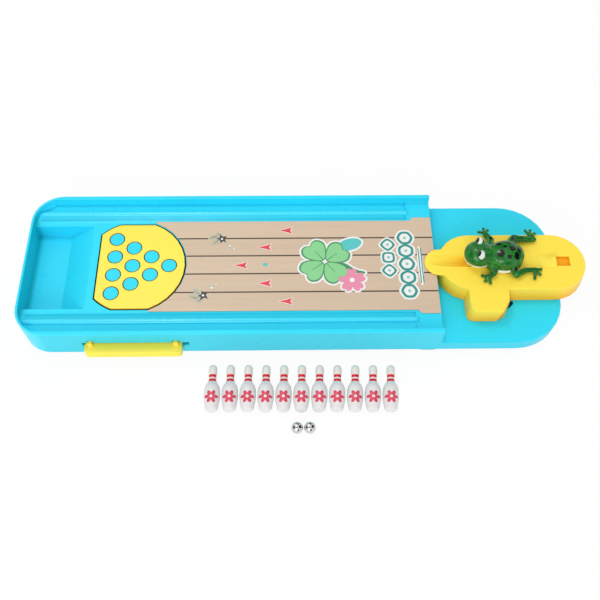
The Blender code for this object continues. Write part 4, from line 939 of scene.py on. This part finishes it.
# Ink lies in levels; each shape of a level lies a little higher than the last. In metres
INK_FLOOR = PLAY_HEIGHT + 0.00001
INK_THICKNESS = 0.00002
LEVEL_RISE = 0.00004
SHAPE_RISE = 0.000002


def layer(name, outlines, level, colour):
    """Thin ink shapes on the lane sheet, with outlines in millimetres."""
    bm = bmesh.new()
    for count, outline in enumerate(outlines):
        bottom = INK_FLOOR + level * LEVEL_RISE + count * SHAPE_RISE
        points = [(x / 1000, y / 1000) for x, y in outline]
        slab(bm, points if turned_area(points) > 0 else points[::-1], bottom,
             bottom + INK_THICKNESS)
    shown(name, bm, "board", INKS[colour], 30.0)


def placed(outline, x, y, turn=0.0):
    """An outline turned about its origin and moved."""
    spin = math.radians(turn)
    return [(x + (u * math.cos(spin) - v * math.sin(spin)),
             y + (u * math.sin(spin) + v * math.cos(spin))) for u, v in outline]


def ring(x, y, rx, ry, steps=40, turn=0.0):
    """An oval outline."""
    return placed([(rx * math.cos(a), ry * math.sin(a)) for a in around(steps)], x, y, turn)


INKS = {name: ink(name + "_ink", colour) for name, colour in (
    ("white", (0.86, 0.86, 0.84)), ("red", (0.78, 0.03, 0.06)), ("teal", (0.012, 0.29, 0.25)),
    ("pale_teal", (0.25, 0.6, 0.56)), ("green", (0.24, 0.64, 0.27)),
    ("dark_green", (0.055, 0.29, 0.11)), ("pink", (0.8, 0.26, 0.4)), ("grey", (0.5, 0.48, 0.37)),
    ("olive", (0.3, 0.29, 0.2)), ("black", (0.02, 0.024, 0.034)), ("cyan", (0.08, 0.56, 0.54)))}


def arrows():
    """Five arrows towards the pins, with white rims, and a dot behind the middle one."""
    arrow = [(-4.4, 0.0), (0.6, 1.3), (4.2, 2.6), (2.8, 0.0), (4.2, -2.6), (0.6, -1.3)]
    rim = [(-5.2, 0.0), (-2.0, 0.95), (0.4, 1.65), (4.7, 3.1), (3.4, 0.0), (4.7, -3.1),
           (0.4, -1.65), (-2.0, -0.95)]
    places = [(-5.3, 27.3), (-19.6, 13.7), (-35.3, -0.5), (-19.4, -14.5), (-5.6, -28.2)]
    layer("arrow_rims", [placed(rim, x, y) for x, y in places], 0, "white")
    layer("arrows", [placed(arrow, x, y) for x, y in places], 1, "red")
    layer("lane_dot", [ring(-19.2, 0.0, 1.7, 1.35)], 0, "cyan")


def sparks():
    """Two dark stars with pale puffs behind them and drops beside them."""
    star = [(0, 3.6), (1.1, 1.5), (3.9, 1.0), (1.7, -0.4), (1.6, -3.6), (0, -1.7), (-1.9, -3.0),
            (-1.5, -0.3), (-3.6, 1.6), (-1.2, 1.5)]
    puffs = ((-5.2, 1.2, 4.4, 2.3, 12), (-3.6, -2.6, 3.9, 1.9, 38), (-1.8, 3.4, 2.6, 1.5, -30))
    drops = ((5.2, -5.6, 1.5), (8.0, -8.2, 1.1), (4.4, -8.6, 0.8))
    clouds, streaks, stars, hearts = [], [], [], []
    for x, y, turn, side in ((-48.6, 20.6, 20.0, 1), (-59.4, -23.4, -50.0, -1)):
        for dx, dy, rx, ry, lean in puffs:
            lean *= side
            clouds.append(ring(x + dx, y + side * dy, rx, ry, 36, lean))
            streaks.append(ring(x + dx - 0.5, y + side * dy, rx * 0.62, ry * 0.14, 24, lean))
            streaks.append(ring(x + dx, y + side * (dy + ry * 0.45), rx * 0.45, ry * 0.1, 24, lean))
        for dx, dy, r in drops:
            clouds.append(ring(x + dx, y + side * dy, r, r, 28))
            hearts.append(ring(x + dx + 0.2, y + side * dy, r * 0.55, r * 0.55, 20))
        stars.append(placed(star, x, y, turn))
        hearts.append(ring(x, y, 0.8, 0.8, 24))
    layer("spark_clouds", clouds, 0, "grey")
    layer("spark_streaks", streaks, 2, "olive")
    layer("spark_stars", stars, 3, "black")
    layer("spark_hearts", hearts, 4, "white")


def leaf(length, width):
    """A heart-shaped clover leaf that points along +X from its stem."""
    half = [(0.0, 0.0), (0.3, 0.34), (0.7, 0.56), (1.02, 0.4), (1.04, 0.14), (0.9, 0.0)]
    points = half + [(x, -y) for x, y in half[-2:0:-1]]
    return [(x * length, y * width * 2) for x, y in flowing(points, 3, closed=True)]


def grown(outline, by):
    """A smooth outline moved outwards a little."""
    by = math.copysign(by, turned_area(outline))
    moved = []
    for before, (x, y), after in zip(outline[-1:] + outline, outline, outline[1:] + outline[:1]):
        along = Vector((after[0] - before[0], after[1] - before[1])).normalized()
        moved.append((x + along.y * by, y - along.x * by))
    return moved


def badge():
    """A four-leaf clover with a blossom, with a white rim as a cut-out sticker has."""
    x, y = 20.5, 2.0
    blossom_x, blossom_y, inset = x + 17.5, y - 14.5, 0.8
    turns = (38, 128, 218, 308)
    leaves = [placed(leaf(17.0, 8.6), x, y, t) for t in turns]
    stem = flowing([(x + 2, y - 1), (x + 12, y - 3), (x + 19, y - 9), (x + 26, y - 10),
                    (x + 27, y - 8), (x + 20, y - 6.6), (x + 13, y - 0.6), (x + 2, y + 1)], 3,
                   closed=True)
    petals = [placed(leaf(8.6, 3.3), blossom_x, blossom_y, t) for t in (20, 92, 164, 236, 308)]
    puddle = ring(x + 17, y + 13.5, 8.5, 4.6, 48, 18)
    layer("badge_rim", [grown(o, 1.3) for o in leaves + [stem] + petals + [puddle]], 0, "white")
    layer("badge_puddle", [puddle], 1, "cyan")
    layer("badge_stem", [stem], 2, "dark_green")
    layer("badge_leaf_rims", leaves, 3, "dark_green")
    layer("badge_leaves", [placed(leaf(15.4, 7.5), x + inset * math.cos(math.radians(t)),
                                  y + inset * math.sin(math.radians(t)), t) for t in turns],
          4, "green")
    layer("badge_veins", [placed([(2.0, 0.28), (10.5, 0.18), (10.5, -0.18), (2.0, -0.28)], x, y, t)
                          for t in turns], 5, "dark_green")
    layer("badge_petals", petals, 4, "pink")
    layer("badge_blossom_heart", [ring(blossom_x, blossom_y, 1.7, 1.7)], 5, "white")


def tile(x, y, radius, corners, turn):
    """A rounded shape with equal sides."""
    spins = [math.radians(turn + 360 * i / corners) for i in range(corners)]
    points = [(x + radius * math.cos(a), y + radius * math.sin(a)) for a in spins]
    return flowing(flowing(points, 1, True, 0.82, 0.18), 3, closed=True)


def band_of_tiles():
    """Two rows of rounded tiles across the lane, white with teal rims, and two fine stripes."""
    rows = [(63.2, y, 4, 45 * (i % 2)) for i, y in enumerate((-5.2, 5.0, 15.2))]
    rows += [(75.2, y, 6, 30 * (i % 2)) for i, y in enumerate((-21.0, -10.6, -0.2, 10.2, 20.6))]
    stripes = [[(x, -15.0), (x + 0.7, -15.0), (x + 0.7, 12.0), (x, 12.0)] for x in (83.2, 84.9)]
    edges, tiles, faces = ([tile(x, y, r, n, t) for x, y, n, t in rows] for r in (7.5, 6.0, 4.0))
    layer("tile_edges", edges + [ring(84.1, -1.5, 1.9, 15.4, 48)], 0, "white")
    layer("tiles", tiles + stripes, 1, "teal")
    layer("tile_faces", faces, 2, "white")
    layer("tile_hearts", [ring(x, y, 1.1, 1.1, 28) for x, y, n, t in rows], 3, "pale_teal")


arrows()
sparks()
badge()
band_of_tiles()


# Floor, light and camera

WORLD_STRENGTH = 0.8
FLOOR_WHITE_SHARE = 0.93
FLOOR_DROP = 0.00002
LAMP_TARGET = Vector((0.02, 0, 0))
CARD_DISTANCE = 1.3

# The camera that was fitted to the photograph: its place, its turns in degrees and its lens
CAMERA_PLACE = (-0.0046, -0.2713, 0.451)
CAMERA_PITCH, CAMERA_YAW, CAMERA_ROLL = 60.477, -1.9, 1.239
FOCAL_PIXELS, PICTURE_PIXELS, SENSOR_WIDTH = 765.36, 600, 36.0


def white_to_camera(tree, plain, share):
    """Shows a plain shader to the light, and white to the camera, in mirrors and in glass."""
    path = tree.nodes.new("ShaderNodeLightPath")
    seen = path.outputs["Is Camera Ray"]
    for other in ("Is Glossy Ray", "Is Transmission Ray"):
        seen = add_node(tree, "ShaderNodeMath", {0: seen, 1: path.outputs[other]},
                        operation="MAXIMUM").outputs[0]
    amount = add_node(tree, "ShaderNodeMath", {0: seen, 1: share}, operation="MULTIPLY")
    kind = "ShaderNodeBackground" if plain.type == "BACKGROUND" else "ShaderNodeEmission"
    white = add_node(tree, kind, {"Color": (1, 1, 1, 1), "Strength": 1.0})
    return add_node(tree, "ShaderNodeMixShader", {0: amount.outputs[0], 1: plain.outputs[0],
                                                  2: white.outputs[0]}).outputs[0]


def studio():
    world = bpy.data.worlds.new("studio")
    bpy.context.scene.world = world
    world.use_nodes = True
    tree = world.node_tree
    plain = tree.nodes["Background"]
    plain.inputs["Color"].default_value = (1.0, 1.0, 1.0, 1.0)
    plain.inputs["Strength"].default_value = WORLD_STRENGTH
    tree.links.new(white_to_camera(tree, plain, 1.0), tree.nodes["World Output"].inputs["Surface"])

    bm = bmesh.new()
    bmesh.ops.create_grid(bm, x_segments=8, y_segments=8, size=2.5)
    mat = bpy.data.materials.new("floor_white")
    shown("floor", bm, None, mat, place=(0, 0, TABLE_Z - FLOOR_DROP))
    mat.use_nodes = True
    tree = mat.node_tree
    plain = tree.nodes["Principled BSDF"]
    for key, value in (("Base Color", (0.9, 0.9, 0.9, 1.0)), ("Roughness", 0.9),
                       ("Specular IOR Level", 0.0)):
        plain.inputs[key].default_value = value
    tree.links.new(white_to_camera(tree, plain, FLOOR_WHITE_SHARE),
                   tree.nodes["Material Output"].inputs["Surface"])


def lamp(name, place, power, size):
    data = bpy.data.lights.new(name, "AREA")
    data.shape = "DISK"
    data.size = size
    data.energy = power
    obj = bpy.data.objects.new(name, data)
    bpy.context.collection.objects.link(obj)
    obj.location = place
    obj.rotation_euler = (LAMP_TARGET - obj.location).to_track_quat("-Z", "Y").to_euler()


def dark_card(name, toward, size):
    """A black card outside the picture, which only shows as a dark patch in shiny surfaces."""
    bm = bmesh.new()
    bmesh.ops.create_grid(bm, x_segments=2, y_segments=2, size=size)
    direction = Vector(toward).normalized()
    card = shown(name, bm, None, card_black, place=direction * CARD_DISTANCE)
    card.rotation_euler = direction.to_track_quat("Z", "Y").to_euler()
    card.visible_camera = card.visible_diffuse = card.visible_shadow = False


def camera():
    data = bpy.data.cameras.new("camera")
    cam = bpy.data.objects.new("camera", data)
    bpy.context.collection.objects.link(cam)
    pitch, roll = math.radians(CAMERA_PITCH), math.radians(CAMERA_ROLL)
    turn = Matrix.Rotation(math.radians(CAMERA_YAW), 3, "Z")
    forward = turn @ Vector((0, math.cos(pitch), -math.sin(pitch)))
    up = turn @ Vector((0, math.sin(pitch), math.cos(pitch)))
    right = turn @ Vector((1, 0, 0))
    rolled_right = right * math.cos(roll) + up * math.sin(roll)
    rolled_up = up * math.cos(roll) - right * math.sin(roll)
    matrix = Matrix((rolled_right, rolled_up, -forward)).transposed().to_4x4()
    matrix.translation = Vector(CAMERA_PLACE)
    cam.matrix_world = matrix
    data.sensor_width = SENSOR_WIDTH
    data.lens = FOCAL_PIXELS / PICTURE_PIXELS * SENSOR_WIDTH
    bpy.context.scene.camera = cam


studio()
lamp("soft_key", (-0.25, 0.3, 1.0), power=1.7, size=0.22)
lamp("soft_front", (-0.28, -1.03, 0.55), power=4.4, size=0.6)
card_black = rubber("card_black", (0.02, 0.02, 0.02))
dark_card("card_right", (0.8, 0.05, 0.55), size=0.62)
dark_card("card_left", (-0.85, -0.1, 0.4), size=0.5)
dark_card("card_back", (0.15, 0.85, 0.45), size=0.5)
dark_card("card_front", (0.25, -0.9, 0.3), size=0.36)
dark_card("card_top", (-0.1, -0.35, 1.0), size=0.22)
camera()
bpy.context.scene.view_settings.view_transform = "Standard"
